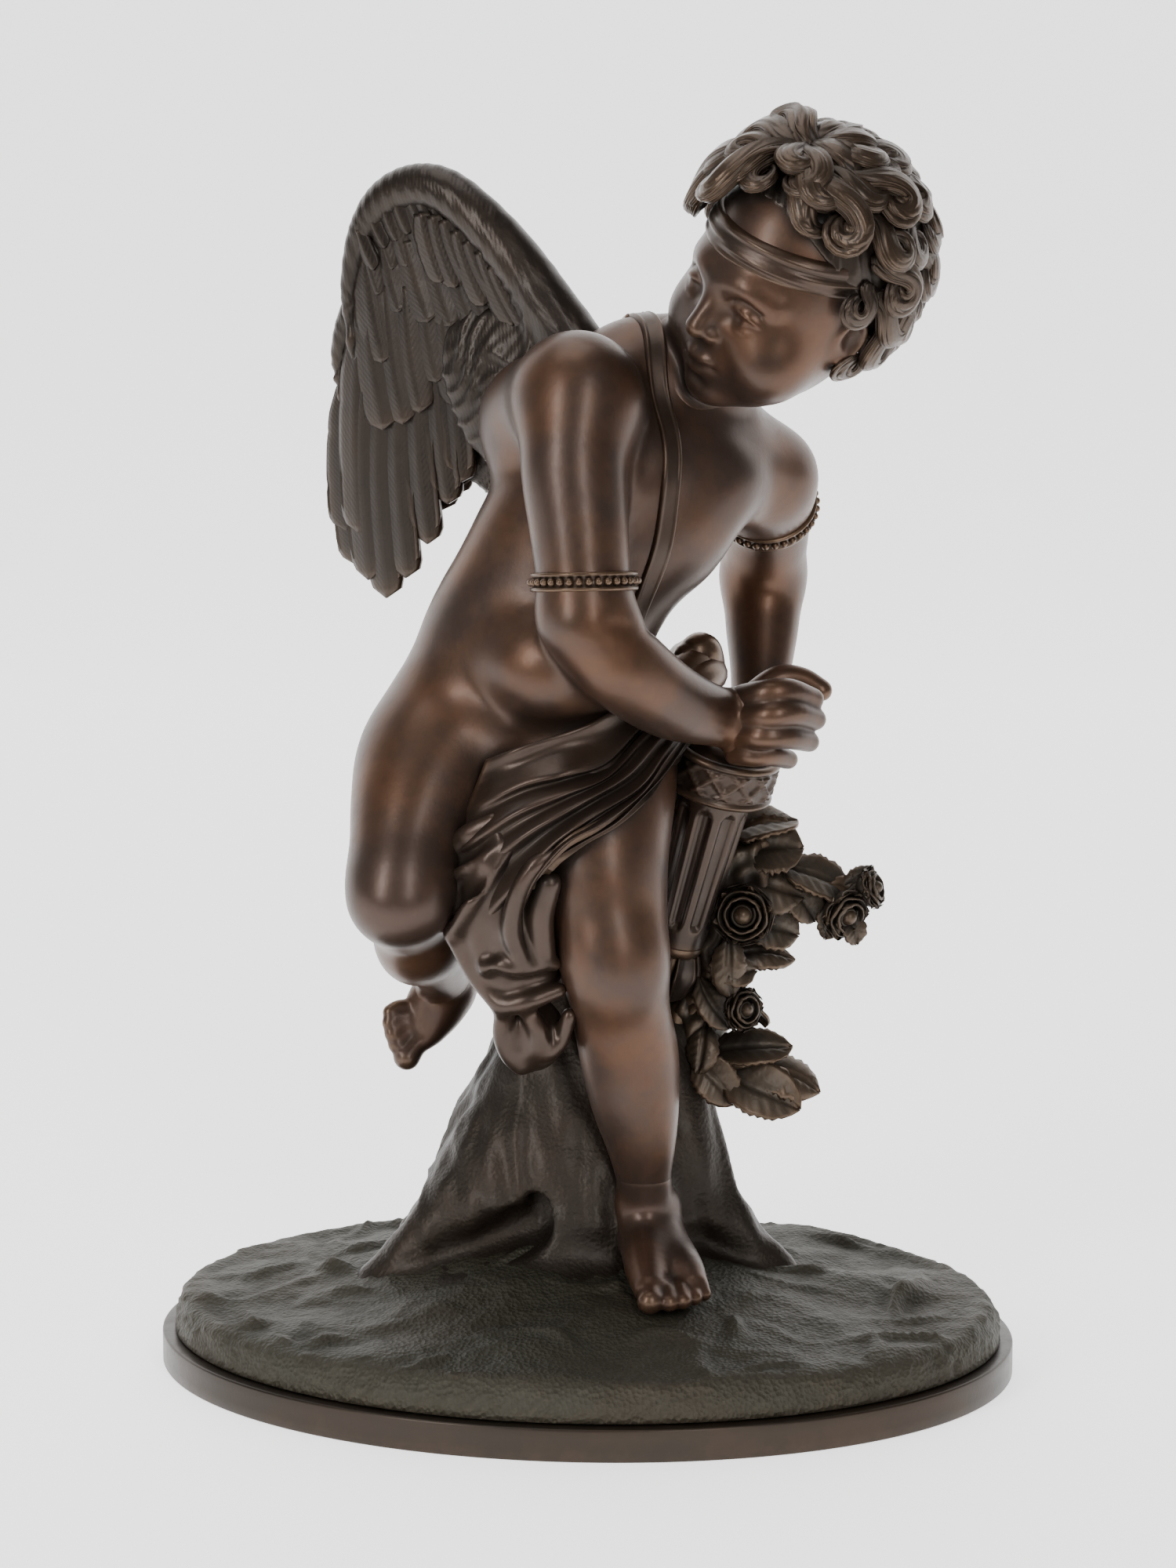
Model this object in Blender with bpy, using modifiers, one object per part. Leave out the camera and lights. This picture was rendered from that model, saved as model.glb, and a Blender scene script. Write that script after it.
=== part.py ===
"""A patinated bronze statuette: a running winged cupid with a quiver, against a rose-grown tree stump.

Two solids: an oval plinth, and the whole cast group of figure, stump and ground that rests on it.
Metres, +Z up, origin under the middle of the plinth. The front is -Y, and +X is the viewer's right.
The group is modelled like clay: limbs are tubes with a changing radius, fleshy masses are turned balls,
feathers, leaves and petals are thin blades. All of them are fused by a voxel remesh, and then thinned.
"""

import math

import bpy
import numpy as np
from mathutils import Matrix

MM = 0.001

# Plinth and ground.
PLINTH_LENGTH = 0.302
PLINTH_WIDTH = 0.227
PLINTH_HEIGHT = 0.0115
PLINTH_TURN = math.radians(-7)
PLINTH_CHAMFER = 0.0008
SEAT_GAP = 0.0003
LEDGE = 0.0045
GROUND_EDGE = 0.0105

# Figure. Its places are in mm for a group this tall, so that one value scales the whole figure.
FIGURE_HEIGHT = 0.4282
SHARE = FIGURE_HEIGHT / 428.2

# Quiver, blindfold and arm rings, in mm of the same figure.
QUIVER_TOP = (49.5, -5.0, 209.0)
QUIVER_TIP = (31.0, 14.0, 118.0)
QUIVER_RADII = (13.6, 8.8)
QUIVER_BAND_RADIUS = 17.8
QUIVER_BAND_HEIGHT = 13.0
QUIVER_FLUTES = 9
QUIVER_FLUTE_DEPTH = 1.9
BLINDFOLD_WIDTH = 13.0
ARM_RING_WIDTH = 6.0
ARM_RING_PROUD = 1.8

# Clay working: voxel sizes, rounds of smoothing and the triangles kept.
BODY_VOXEL = 0.0013
GROUP_VOXEL = 0.0009
BODY_SMOOTHING = 12
GROUP_SMOOTHING = 2
GROUP_TRIANGLES = 8900


# Clay


def smooth_path(stations, steps=6):
    """Points and radii of a smooth curve through (x, y, z, radius) stations."""
    knots = np.array(stations, float)
    knots = np.vstack([2 * knots[0] - knots[1], knots, 2 * knots[-1] - knots[-2]])
    rows = []
    for a, b, c, d in zip(knots, knots[1:], knots[2:], knots[3:]):
        for t in np.arange(steps) / steps:
            rows.append(b + 0.5 * t * (c - a + t * (2 * a - 5 * b + 4 * c - d + t * (3 * (b - c) + d - a))))
    return np.vstack(rows + [knots[-2]])


def loft(rings):
    """A closed solid through rings of equally many points, in mm, with a fan of faces on both ends."""
    rings = np.array(rings, float)
    count, around = rings.shape[:2]
    points = np.vstack([rings.reshape(-1, 3), rings[0].mean(axis=0), rings[-1].mean(axis=0)]) * SHARE
    faces = []
    for i in range(count - 1):
        for j in range(around):
            k = (j + 1) % around
            faces.append((i * around + j, i * around + k, (i + 1) * around + k, (i + 1) * around + j))
    last = (count - 1) * around
    for j in range(around):
        k = (j + 1) % around
        faces.append((count * around, k, j))
        faces.append((count * around + 1, last + j, last + k))
    mesh = bpy.data.meshes.new("clay")
    mesh.from_pydata(points.tolist(), [], faces)
    piece = bpy.data.objects.new("clay", mesh)
    bpy.context.collection.objects.link(piece)
    return piece


def frames(spine, toward):
    """Tangent, side and up vectors along a spine, with up kept near the toward vector."""
    along = np.gradient(spine, axis=0)
    along /= np.linalg.norm(along, axis=1)[:, None]
    side = np.cross(np.broadcast_to(toward, along.shape), along)
    side /= np.linalg.norm(side, axis=1)[:, None]
    return along, side, np.cross(along, side)


def rounded_ends(path, tip=0.35):
    """The path with short caps added, so that its ends close as domes."""
    def dome(end, inner):
        outward = end[:3] - inner[:3]
        outward /= np.linalg.norm(outward)
        rows = []
        for turn in (0.35, 0.7, 0.95):
            at = end.copy()
            at[:3] += outward * end[3] * math.sin(turn * math.pi / 2)
            at[3] *= max(math.cos(turn * math.pi / 2), tip * 0.2)
            rows.append(at)
        return rows

    return np.vstack([dome(path[0], path[1])[::-1], path, dome(path[-1], path[-2])])


def tube(stations, around=14, flat=1.0, toward=(0.0, -1.0, 0.02)):
    """A round limb through (x, y, z, radius) stations. A flat under 1 thins it in the toward direction."""
    path = rounded_ends(smooth_path(stations))
    toward = np.array(toward) / np.linalg.norm(toward)
    _, side, up = frames(path[:, :3], toward)
    turns = np.arange(around) * 2 * math.pi / around
    rings = []
    for point, radius, across, over in zip(path[:, :3], path[:, 3], side, up):
        rings.append([point + radius * (math.cos(a) * across + flat * math.sin(a) * over) for a in turns])
    return loft(rings)


def ball(x, y, z, a, b=None, c=None):
    """An ellipsoid with half axes a, b, c along X, Y and Z."""
    scale = [value * SHARE for value in (a, b or a, c or a)]
    bpy.ops.mesh.primitive_uv_sphere_add(segments=20, ring_count=12, location=[v * SHARE for v in (x, y, z)])
    piece = bpy.context.object
    piece.scale = scale
    return piece


def blade(path, toward, thick=2.4, cup=0.0, around=10):
    """A feather, leaf or petal along (x, y, z, half width) stations. A positive cup raises its edges."""
    path = smooth_path(path, steps=4)
    path[:, 3] = np.maximum(path[:, 3], 0.5)
    toward = np.array(toward, float) / np.linalg.norm(toward)
    _, side, up = frames(path[:, :3], toward)
    turns = np.arange(around) * 2 * math.pi / around
    rings = []
    for point, wide, across, over in zip(path[:, :3], path[:, 3], side, up):
        thin = min(thick / 2, wide)
        ring = []
        for a in turns:
            rise = thin * math.sin(a) + cup * wide * math.cos(a) ** 2
            ring.append(point + wide * math.cos(a) * across + rise * over)
        rings.append(ring)
    return loft(rings)


def hoop(middle, axis, radius, wide, proud, toward=(0.0, -1.0, 0.0)):
    """A low round band about an axis: an arm ring, or the rim of a vessel."""
    axis = np.array(axis, float) / np.linalg.norm(axis)
    side = np.cross(toward, axis)
    side /= np.linalg.norm(side)
    over = np.cross(axis, side)
    turns = np.arange(28) * 2 * math.pi / 28
    profile = ((-0.5, 0.0), (-0.5, proud), (0.0, proud * 1.3), (0.5, proud), (0.5, 0.0))
    rings = []
    for level, extra in profile:
        centre = np.array(middle) + axis * level * wide
        rings.append([centre + (radius + extra) * (math.cos(a) * side + math.sin(a) * over) for a in turns])
    return loft(rings)


def fuse(name, pieces, voxel, smoothing):
    """One closed mesh out of overlapping pieces."""
    bpy.ops.object.select_all(action="DESELECT")
    for piece in pieces:
        piece.select_set(True)
    bpy.context.view_layer.objects.active = pieces[0]
    bpy.ops.object.join()
    whole = bpy.context.object
    whole.name = name
    bpy.ops.object.transform_apply(location=True, rotation=True, scale=True)
    remesh = whole.modifiers.new("Clay", "REMESH")
    remesh.mode = "VOXEL"
    remesh.voxel_size = voxel
    smooth = whole.modifiers.new("Smooth", "SMOOTH")
    smooth.factor = 0.5
    smooth.iterations = smoothing
    bpy.ops.object.convert(target="MESH")
    return whole


# Figure


def torso():
    """Trunk, neck, shoulders, buttocks and belly."""
    return [
        tube([(-26, 6, 212, 40), (-20, 3, 240, 38), (-10, 0, 262, 36), (2, -2, 284, 37), (16, -1, 302, 36),
              (22, 4, 319, 30), (33, 6, 332, 22)], around=24, flat=0.86),
        tube([(28, 6, 327, 22), (42, 0, 341, 19), (60, -13, 358, 18)]),
        ball(-6, -20, 244, 28, 22, 26),
        ball(-40, 20, 208, 25),
        ball(-6, 28, 208, 24),
        ball(-12, 10, 322, 20),
        ball(38, 32, 308, 18),
        ball(18, 2, 338, 20, 18, 20),
        ball(14, -22, 310, 16),
        ball(42, -8, 303, 15, 14, 16),
        ball(26, -6, 284, 20, 20, 20),
        tube([(34, 14, 320, 20), (50, 22, 308, 17), (61, 26, 300, 15.5)]),
    ]


def right_arm():
    return [
        ball(-2, -34, 335, 18.5),
        tube([(-1, -33, 334, 18), (-4, -42, 315, 17.5), (-2, -48, 290, 16), (0, -52, 262, 15),
              (12, -50, 247, 14.5), (28, -38, 232, 13), (45, -24, 224, 10.5), (50, -20, 222, 10)], around=18),
    ]


def left_arm():
    return [
        ball(61.5, 27, 299, 16.5),
        tube([(62, 27, 299, 16.5), (64, 44, 284, 15.2), (63.5, 64, 260, 14.4), (63, 56, 245, 13.2),
              (62, 44, 228, 10.5), (60, 34, 216, 9.5), (56, 24, 208, 10)], around=18),
    ]


def left_leg():
    return [
        tube([(2, 2, 215, 31), (4, -18, 196, 26), (5, -30, 178, 23), (7, -34, 160, 21), (10, -35, 139, 19),
              (12, -32, 124, 17.5), (15, -28, 105, 16.5), (17, -26, 92, 15.3), (19, -24, 78, 12.8),
              (20, -22, 65, 10.5), (22, -21, 50, 9.3)], around=20),
        tube([(22, -10, 37, 9), (21, -20, 38, 8.5), (21, -40, 33, 7.5), (22, -54, 29, 5.5)]),
        tube([(27, -16, 37, 8), (33, -38, 32, 7), (38, -48, 29, 5)]),
    ]


def right_leg():
    return [
        tube([(-38, 4, 214, 33), (-50, -8, 205, 28), (-56, -20, 195, 23.5), (-60, -30, 182, 19.5),
              (-62, -38, 172, 16.8), (-63, -42, 163, 15)], around=20),
        tube([(-63, -40, 163, 14.5), (-60, -22, 152, 14), (-56, 0, 139, 13), (-53, 20, 128, 11),
              (-50, 36, 118, 8.8)]),
        tube([(-46, 46, 116, 7.5), (-48, 42, 110, 8.5), (-52, 36, 104, 8), (-57, 33, 97, 6.8)]),
        tube([(-51, 38, 112, 8), (-60, 33, 103, 6.5), (-66, 31, 98, 4.8)]),
    ]


def toes():
    feet = ((22, -50, 30, 22, -60, 28, 4.4), (27, -50, 29, 28, -59, 27.5, 3.2), (31, -49, 29, 32, -57, 28, 3.0),
            (35, -47, 29, 36.5, -53, 28, 2.9), (38, -44, 29, 40, -48, 28, 2.7), (-57, 34, 98, -62, 31, 90, 5.2),
            (-60, 33, 98, -65.5, 31, 92, 3.2), (-62, 33, 100, -68, 31, 94.5, 3.0),
            (-64, 33, 102, -70, 31, 97, 2.8), (-65, 33, 104, -71, 31, 100, 2.6))
    return [tube([foot[:3] + foot[6:], foot[3:]], around=10) for foot in feet]


def right_hand():
    """A loose fist over the mouth of the quiver, with the thumb behind the forefinger."""
    fingers = (
        ((54, -24, 231, 4.8), (66, -30, 233, 4.8), (77, -22, 229, 4.2)),
        ((54, -28, 225, 4.6), (68, -32, 226, 4.6), (78, -22, 222, 4.0)),
        ((53, -27, 218, 4.4), (66, -31, 218, 4.4), (76, -21, 214, 3.8)),
        ((51, -24, 211, 4.2), (60, -27, 211, 4.2), (69, -19, 208, 3.6)),
        ((58, -14, 230, 5.0), (70, -10, 234, 4.6), (80, -9, 230, 4.0)),
    )
    return [ball(57, -19, 221, 11, 10, 13)] + [tube(finger, around=10) for finger in fingers]


def left_hand():
    """The left hand grips the quiver's rim from behind, with its fingers bent over the edge."""
    fingers = []
    for i in range(4):
        x = 41 + 6.4 * i
        y = 13 + 1.2 * abs(i - 1.5)
        fingers.append(((x + 3, y + 12, 208, 4.4), (x, y + 2, 210, 4.2), (x - 1, y - 5, 205, 3.8)))
    return [ball(53, 24, 207, 12, 8, 9)] + [tube(finger, around=10) for finger in fingers]


# Head and hair

HEAD = np.array((70.5, -22.0, 374.0))
FORWARD = np.array((-0.789, -0.609, -0.08))
OVER = np.array((0.192, -0.368, 0.91))
LEFT = np.cross(OVER, FORWARD)
SKULL = HEAD - 4 * FORWARD + 6 * OVER
SKULL_RADII = (32.0, 37.0, 38.0)


def in_head(left, forward, up):
    """A point given by the head's own axes."""
    return tuple(HEAD + left * LEFT + forward * FORWARD + up * OVER)


def on_scalp(azimuth, height, lift):
    """A point over the scalp: azimuth in degrees from the brow to the left, height above the ears."""
    a, h = math.radians(azimuth), math.radians(height)
    way = np.array((math.sin(a) * math.cos(h), math.cos(a) * math.cos(h), math.sin(h)))
    reach = (np.array(SKULL_RADII) + lift) * way
    return SKULL + reach[0] * LEFT + reach[1] * FORWARD + reach[2] * OVER


def turned_ball(centre, radii):
    """An ellipsoid along the head's own axes."""
    piece = ball(*centre, *radii)
    piece.rotation_euler = Matrix([LEFT, FORWARD, OVER]).transposed().to_euler()
    return piece


def head():
    """Skull, face and ears: calm, round and childlike."""
    pieces = [
        turned_ball(tuple(SKULL), SKULL_RADII),
        turned_ball(in_head(0, 7, -8), (28, 29, 34)),
        turned_ball(in_head(0, 28, -34), (10, 9, 8)),
        turned_ball(in_head(0, 34, -21), (9, 5, 6)),
        tube([in_head(0, 33, 8) + (4,), in_head(0, 37, 0) + (4,), in_head(0, 40.5, -8) + (4.4,)], around=10),
    ]
    for sign in (-1, 1):
        pieces.append(turned_ball(in_head(13.5 * sign, 19, -14), (13, 13, 14)))
        pieces.append(turned_ball(in_head(29 * sign, -2, -6), (4, 6, 9)))
        pieces.append(tube([in_head(5 * sign, 33, 6) + (3.2,), in_head(12 * sign, 33, 7.5) + (3.2,),
                            in_head(19 * sign, 28, 5) + (3.2,)], around=10))
    return pieces


def lock(azimuth, height, heading, length, curl, radius=4.6, proud=5.5):
    """A lock of hair that runs over the scalp and rolls up towards its end."""
    steps = 12
    stations = []
    for i in range(steps):
        t = i / (steps - 1)
        lift = 1.0 + proud * math.sin(math.pi * (0.15 + 0.75 * t))
        stations.append(tuple(on_scalp(azimuth, height, lift)) + (radius * (1 - 0.55 * t ** 2),))
        turn = math.radians(heading + curl * t ** 1.6)
        stride = length / (steps - 1) / 42 * 57.3
        height += stride * math.cos(turn)
        azimuth += stride * math.sin(turn) / max(math.cos(math.radians(height)), 0.35)
    return tube(stations[::2] + [stations[-1]], around=8)


def hair():
    """Thick curls, parted on top, that tumble over the blindfold and cover the back of the head."""
    front = (
        (-40, 62, -80, 34, -200), (-50, 46, -80, 30, 230), (-42, 36, -100, 34, -220), (-38, 22, -110, 26, 240),
        (-25, 58, 190, 36, 170), (-8, 56, 185, 30, -190), (-30, 70, -60, 40, 180), (8, 72, 110, 38, 190),
        (20, 62, 150, 36, -200), (42, 66, 130, 36, 180), (48, 50, 160, 38, -210), (66, 44, 170, 34, 220),
        (80, 58, 120, 38, -180), (78, 30, 165, 34, 200), (96, 36, 140, 34, -210), (92, 12, 185, 34, 220),
        (80, 2, 190, 30, -230), (72, -18, 195, 26, 230), (92, -22, 170, 28, -220),
    )
    pieces = [lock(*values, proud=9.0 if values[0] < -20 else 5.5) for values in front]
    for row, (height, count, heading) in enumerate(((74, 4, 170), (48, 7, 160), (22, 8, 200), (-4, 8, 165), (-28, 7, 195))):
        for i in range(count):
            azimuth = 112 + (i + 0.5 * (row % 2)) * 176 / count
            pieces.append(lock(azimuth, height, heading, 32, 210 if (i + row) % 2 else -210, proud=3.0))
    for height, heading in ((40, 190), (14, 175), (-12, 190)):
        pieces.append(lock(-76, height, heading, 30, -200, proud=7.0))
    return pieces


def blindfold():
    """The cloth band round the brow, pushed up over the forehead, with two rolled edges."""
    pieces = []
    for lift in (-1.0, 0.0, 1.0):
        path = []
        for step in range(33):
            azimuth = step * 360 / 32
            tilt = 11 + lift * BLINDFOLD_WIDTH / 2 - 5.4 * math.cos(math.radians(azimuth - 180))
            path.append(tuple(on_scalp(azimuth, tilt, 0.6)) + (4.2 if lift == 0 else 2.2,))
        pieces.append(tube(path, around=8))
    return pieces


# Wings


def wing(root, direction, size, lifted=1.0):
    """A wing with a thick leading edge, three rows of coverts and long flight feathers."""
    spread = np.array((math.cos(math.radians(direction)), math.sin(math.radians(direction)), 0.0))
    toward = np.array((-spread[1], spread[0], 0.0))

    def at(out, up, front=0.0):
        bend = -0.0016 * out * out
        raised = np.array((0, 0, up * lifted))
        return tuple(np.array(root) + size * (out * spread + raised + (front + bend) * toward))

    def feather(base, tip, wide, front, bow=0.0):
        (u0, v0), (u1, v1) = base, tip
        stations = []
        for t, share_wide in ((0, 0.55), (0.3, 0.9), (0.62, 1.0), (0.86, 0.85), (1.0, 0.3)):
            out = u0 + (u1 - u0) * t + bow * math.sin(math.pi * t)
            stations.append(at(out, v0 + (v1 - v0) * t, front * (1 - 0.35 * t)) + (wide * share_wide * size,))
        return blade(stations, toward, thick=2.6, cup=-0.12)

    pieces = [
        tube([at(-8, -2) + (8,), at(6, 12) + (8.2,), at(18, 28) + (8,), at(33, 43) + (7.5,), at(50, 50) + (7,),
              at(63, 46) + (6.5,), at(71, 36) + (5.6,), at(76, 22) + (4.5,)]),
        blade([at(-2, -10) + (10,), at(18, 6) + (22,), at(36, 16) + (26,), at(56, 22) + (24,), at(72, 22) + (12,)],
              toward, thick=9),
        blade([at(8, -22) + (9,), at(30, -18) + (22,), at(52, -12) + (28,), at(70, -6) + (26,), at(82, -4) + (14,)],
              toward, thick=4.4),
        blade([at(46, -8) + (20,), at(56, -36) + (23,), at(64, -62) + (17,), at(70, -82) + (9,)], toward, thick=4),
        tube([at(-6, -14) + (10,), at(4, -26) + (8,), at(16, -40) + (5,)]),
    ]
    primaries = ((83, -76), (80, -89), (71, -97), (61, -87), (52, -75), (44, -64), (38, -54), (33, -44))
    for i, tip in enumerate(primaries):
        pieces.append(feather((76 - 6.4 * i, 6 - 3.5 * i), tip, 5.6, 2.2 - 0.2 * i, bow=5 - i))
    for i, tip in enumerate(((76, -10), (69, -36), (61, -34), (53, -29), (45, -21), (37, -15))):
        pieces.append(feather((74 - 6.5 * i, 26 - 3 * i), tip, 5.8, 4.0, bow=2))
    for i in range(6):
        pieces.append(feather((72 - 8 * i, 36 - 1.5 * abs(i - 2)), (70 - 9 * i, 10 + 2 * i), 5.0, 5.0))
    for i in range(6):
        pieces.append(feather((68 - 8.5 * i, 42 - 2.5 * max(i - 2, 0)), (67 - 9 * i, 26 - 1.5 * i), 4.4, 6.0))
    return pieces


# Cloth, quiver and strap


def drapery():
    """Cloth knotted at the left hip: folds swing round the thighs to the right and fall between the legs."""
    folds = (
        ((28, -12, 226, 5), (10, -34, 221, 5), (-8, -42, 216, 5), (-24, -42, 211, 5), (-33, -36, 207, 4)),
        ((30, -14, 216, 6), (12, -38, 209, 6.5), (-6, -48, 200, 6), (-24, -50, 190, 5.5), (-38, -46, 180, 5),
         (-43, -40, 172, 4)),
        ((32, -16, 206, 6), (16, -42, 196, 6), (0, -53, 186, 6), (-16, -56, 176, 5.5), (-30, -52, 164, 5),
         (-42, -42, 158, 4)),
        ((30, -20, 200, 5), (22, -38, 190, 5), (8, -52, 181, 5), (-6, -58, 174, 5), (-14, -56, 164, 5),
         (-16, -52, 150, 5), (-14, -44, 136, 5)),
        ((-30, -48, 185, 5), (-40, -44, 170, 5), (-42, -40, 155, 5), (-38, -38, 142, 5), (-30, -36, 128, 5)),
        ((-22, -52, 172, 5.5), (-28, -50, 158, 5), (-30, -46, 144, 5), (-24, -42, 132, 5)),
        ((-28, -24, 118, 7), (-24, -20, 106, 6), (-18, -18, 100, 5)),
        ((-14, -40, 136, 6), (-20, -30, 120, 7), (-20, -20, 108, 7)),
        ((36, 18, 244, 7), (40, 4, 240, 6), (34, -8, 230, 6), (26, -16, 220, 6)),
        ((40, 22, 240, 7), (34, 34, 226, 8), (14, 44, 216, 8), (-8, 46, 206, 8), (-26, 42, 196, 7)),
        ((38, 26, 228, 7), (28, 40, 212, 8), (6, 50, 198, 8), (-14, 48, 184, 7)),
        ((36, 22, 214, 7), (24, 42, 196, 8), (4, 50, 180, 8), (-6, 46, 166, 7)),
    )
    sheets = (
        ((34, 0, 224, 12), (22, -26, 216, 13), (2, -40, 208, 13), (-18, -43, 198, 13), (-36, -38, 186, 11)),
        ((26, -24, 206, 9), (10, -44, 196, 10), (-8, -52, 186, 11), (-26, -48, 174, 12), (-38, -38, 162, 9)),
        ((-28, -42, 176, 14), (-28, -42, 158, 13), (-26, -38, 140, 11), (-22, -28, 120, 9)),
    )
    pieces = [tube(fold, around=10) for fold in folds]
    pieces += [blade(sheet, (-0.2, -0.9, 0.3), thick=8) for sheet in sheets]
    pieces.append(ball(-20, -30, 165, 18, 17, 30))
    pieces.append(ball(-20, -22, 132, 12, 14, 20))
    pieces.append(ball(38, 18, 240, 9, 9, 8))
    return pieces


def strap():
    """The quiver's flat strap, over the right shoulder and down to the left hip, front and back."""
    front = [(14, 8, 357, 7), (20, -10, 357, 7), (24, -26, 346, 7), (27, -36, 332, 7), (30, -41, 312, 7),
             (31, -42, 292, 6.5), (26, -40, 270, 6), (24, -34, 256, 6)]
    back = [(14, 8, 357, 7), (12, 22, 349, 7), (14, 33, 330, 7), (20, 36, 306, 7), (20, 33, 284, 6.5),
            (18, 34, 262, 6), (22, 34, 244, 6)]
    return [tube(front, flat=0.4, toward=(0.2, -1.0, 0.35)), tube(back, flat=0.4, toward=(-0.1, 1.0, 0.3))]


def quiver():
    """A tapering quiver with hollow flutes, a broad band at the mouth and a leafy foot."""
    top, tip = np.array(QUIVER_TOP), np.array(QUIVER_TIP)
    axis = (tip - top) / np.linalg.norm(tip - top)
    side = np.cross(axis, (0.0, -1.0, 0.0))
    side /= np.linalg.norm(side)
    over = np.cross(axis, side)
    length = np.linalg.norm(tip - top)
    turns = np.arange(QUIVER_FLUTES * 8) * 2 * math.pi / (QUIVER_FLUTES * 8)
    rings = []
    for t in np.linspace(0, 0.84, 22):
        radius = QUIVER_RADII[0] + (QUIVER_RADII[1] - QUIVER_RADII[0]) * t
        open_share = np.clip(min((t - 0.17) / 0.05, (0.72 - t) / 0.05), 0, 1)
        ring = []
        for a in turns:
            hollow = max(math.cos(a * QUIVER_FLUTES), 0) ** 0.5 * open_share * QUIVER_FLUTE_DEPTH
            ring.append(top + axis * length * t + (radius - hollow) * (math.cos(a) * side + math.sin(a) * over))
        rings.append(ring)
    pieces = [loft(rings)]
    pieces.append(hoop(top + axis * QUIVER_BAND_HEIGHT / 2 * 0.8, axis, 14, QUIVER_BAND_HEIGHT,
                       QUIVER_BAND_RADIUS - 15))
    pieces.append(hoop(top + axis * length * 0.82, axis, QUIVER_RADII[1], 4, 1.6))
    foot = top + axis * length * 0.84
    pieces.append(tube([tuple(foot) + (8.4,), tuple(foot + axis * 8) + (7.2,), tuple(foot + axis * 16) + (4.5,)]))
    for i in range(6):
        a = i * math.pi / 3
        out = math.cos(a) * side + math.sin(a) * over
        path = [tuple(foot + out * 7.5) + (3,), tuple(foot + axis * 8 + out * 8.2) + (3.6,),
                tuple(foot + axis * 15 + out * 7.4) + (1.2,)]
        pieces.append(blade(path, out))
    return pieces


def arm_rings():
    return [
        hoop((0, -49, 274), (0.02, -0.14, -1.0), 15.6, ARM_RING_WIDTH, ARM_RING_PROUD),
        hoop((63.5, 39, 288.5), (0.05, 0.75, -0.66), 15.6, ARM_RING_WIDTH, ARM_RING_PROUD),
    ]


# Stump, roses and ground


def stump():
    pieces = [
        tube([(6, 32, 188, 24), (6, 31, 150, 27), (4, 28, 110, 32), (1, 26, 80, 38), (-3, 24, 60, 45),
              (-8, 22, 36, 54)], around=28),
        tube([(-14, 8, 84, 16), (-30, 6, 62, 15), (-52, 4, 44, 14), (-76, 4, 33, 9), (-100, 6, 24, 5)]),
        tube([(-10, -2, 70, 14), (-12, -8, 48, 12), (-15, -16, 28, 12)]),
        tube([(30, 12, 90, 14), (42, 10, 60, 11), (52, 8, 40, 10), (72, 8, 26, 6)]),
        tube([(0, 50, 90, 16), (2, 64, 56, 14), (4, 84, 30, 10)]),
        tube([(-30, 34, 70, 14), (-56, 46, 42, 10), (-76, 58, 27, 6)]),
    ]
    for i in range(9):
        a = i * 2 * math.pi / 9 + 0.3
        top = (6 + 24 * math.cos(a), 31 + 24 * math.sin(a), 180, 4)
        low = (2 + 36 * math.cos(a + 0.25), 27 + 34 * math.sin(a + 0.25), 84, 5)
        mid = (5 + 27 * math.cos(a + 0.1), 30 + 27 * math.sin(a + 0.1), 132, 4.5)
        pieces.append(tube([top, mid, low], around=8))
    return pieces


def rose(x, y, z, radius, facing):
    """A half-open rose: a core and two whorls of cupped petals."""
    facing = np.array(facing, float) / np.linalg.norm(facing)
    side = np.cross(facing, (0.1, 0.2, 1.0))
    side /= np.linalg.norm(side)
    over = np.cross(facing, side)
    middle = np.array((x, y, z), float)
    pieces = [tube([tuple(middle - facing * radius) + (radius * 0.4,), tuple(middle) + (radius * 0.62,)], around=10)]
    for ring, (count, reach) in enumerate(((3, 0.62), (5, 0.95))):
        for i in range(count):
            a = (i + ring * 0.5) * 2 * math.pi / count
            out = math.cos(a) * side + math.sin(a) * over
            path = [tuple(middle - facing * radius * 0.9 + out * radius * 0.25) + (radius * 0.3,),
                    tuple(middle + out * radius * reach) + (radius * 0.66,),
                    tuple(middle + facing * radius * 0.62 + out * radius * reach) + (radius * 0.5,)]
            pieces.append(blade(path, out, thick=2.2))
    return pieces


def leaf(base, tip, wide, toward, droop=2.0):
    """A broad rose leaf, bowed down along its midrib."""
    base, tip = np.array(base, float), np.array(tip, float)
    toward = np.array(toward, float) / np.linalg.norm(toward)
    stations = []
    for t, share_wide in ((0, 0.25), (0.25, 0.85), (0.5, 1.0), (0.78, 0.72), (1.0, 0.12)):
        point = base + (tip - base) * t + toward * droop * math.sin(math.pi * t)
        stations.append(tuple(point) + (wide * share_wide,))
    return blade(stations, toward, thick=2.4, cup=0.12)


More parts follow.
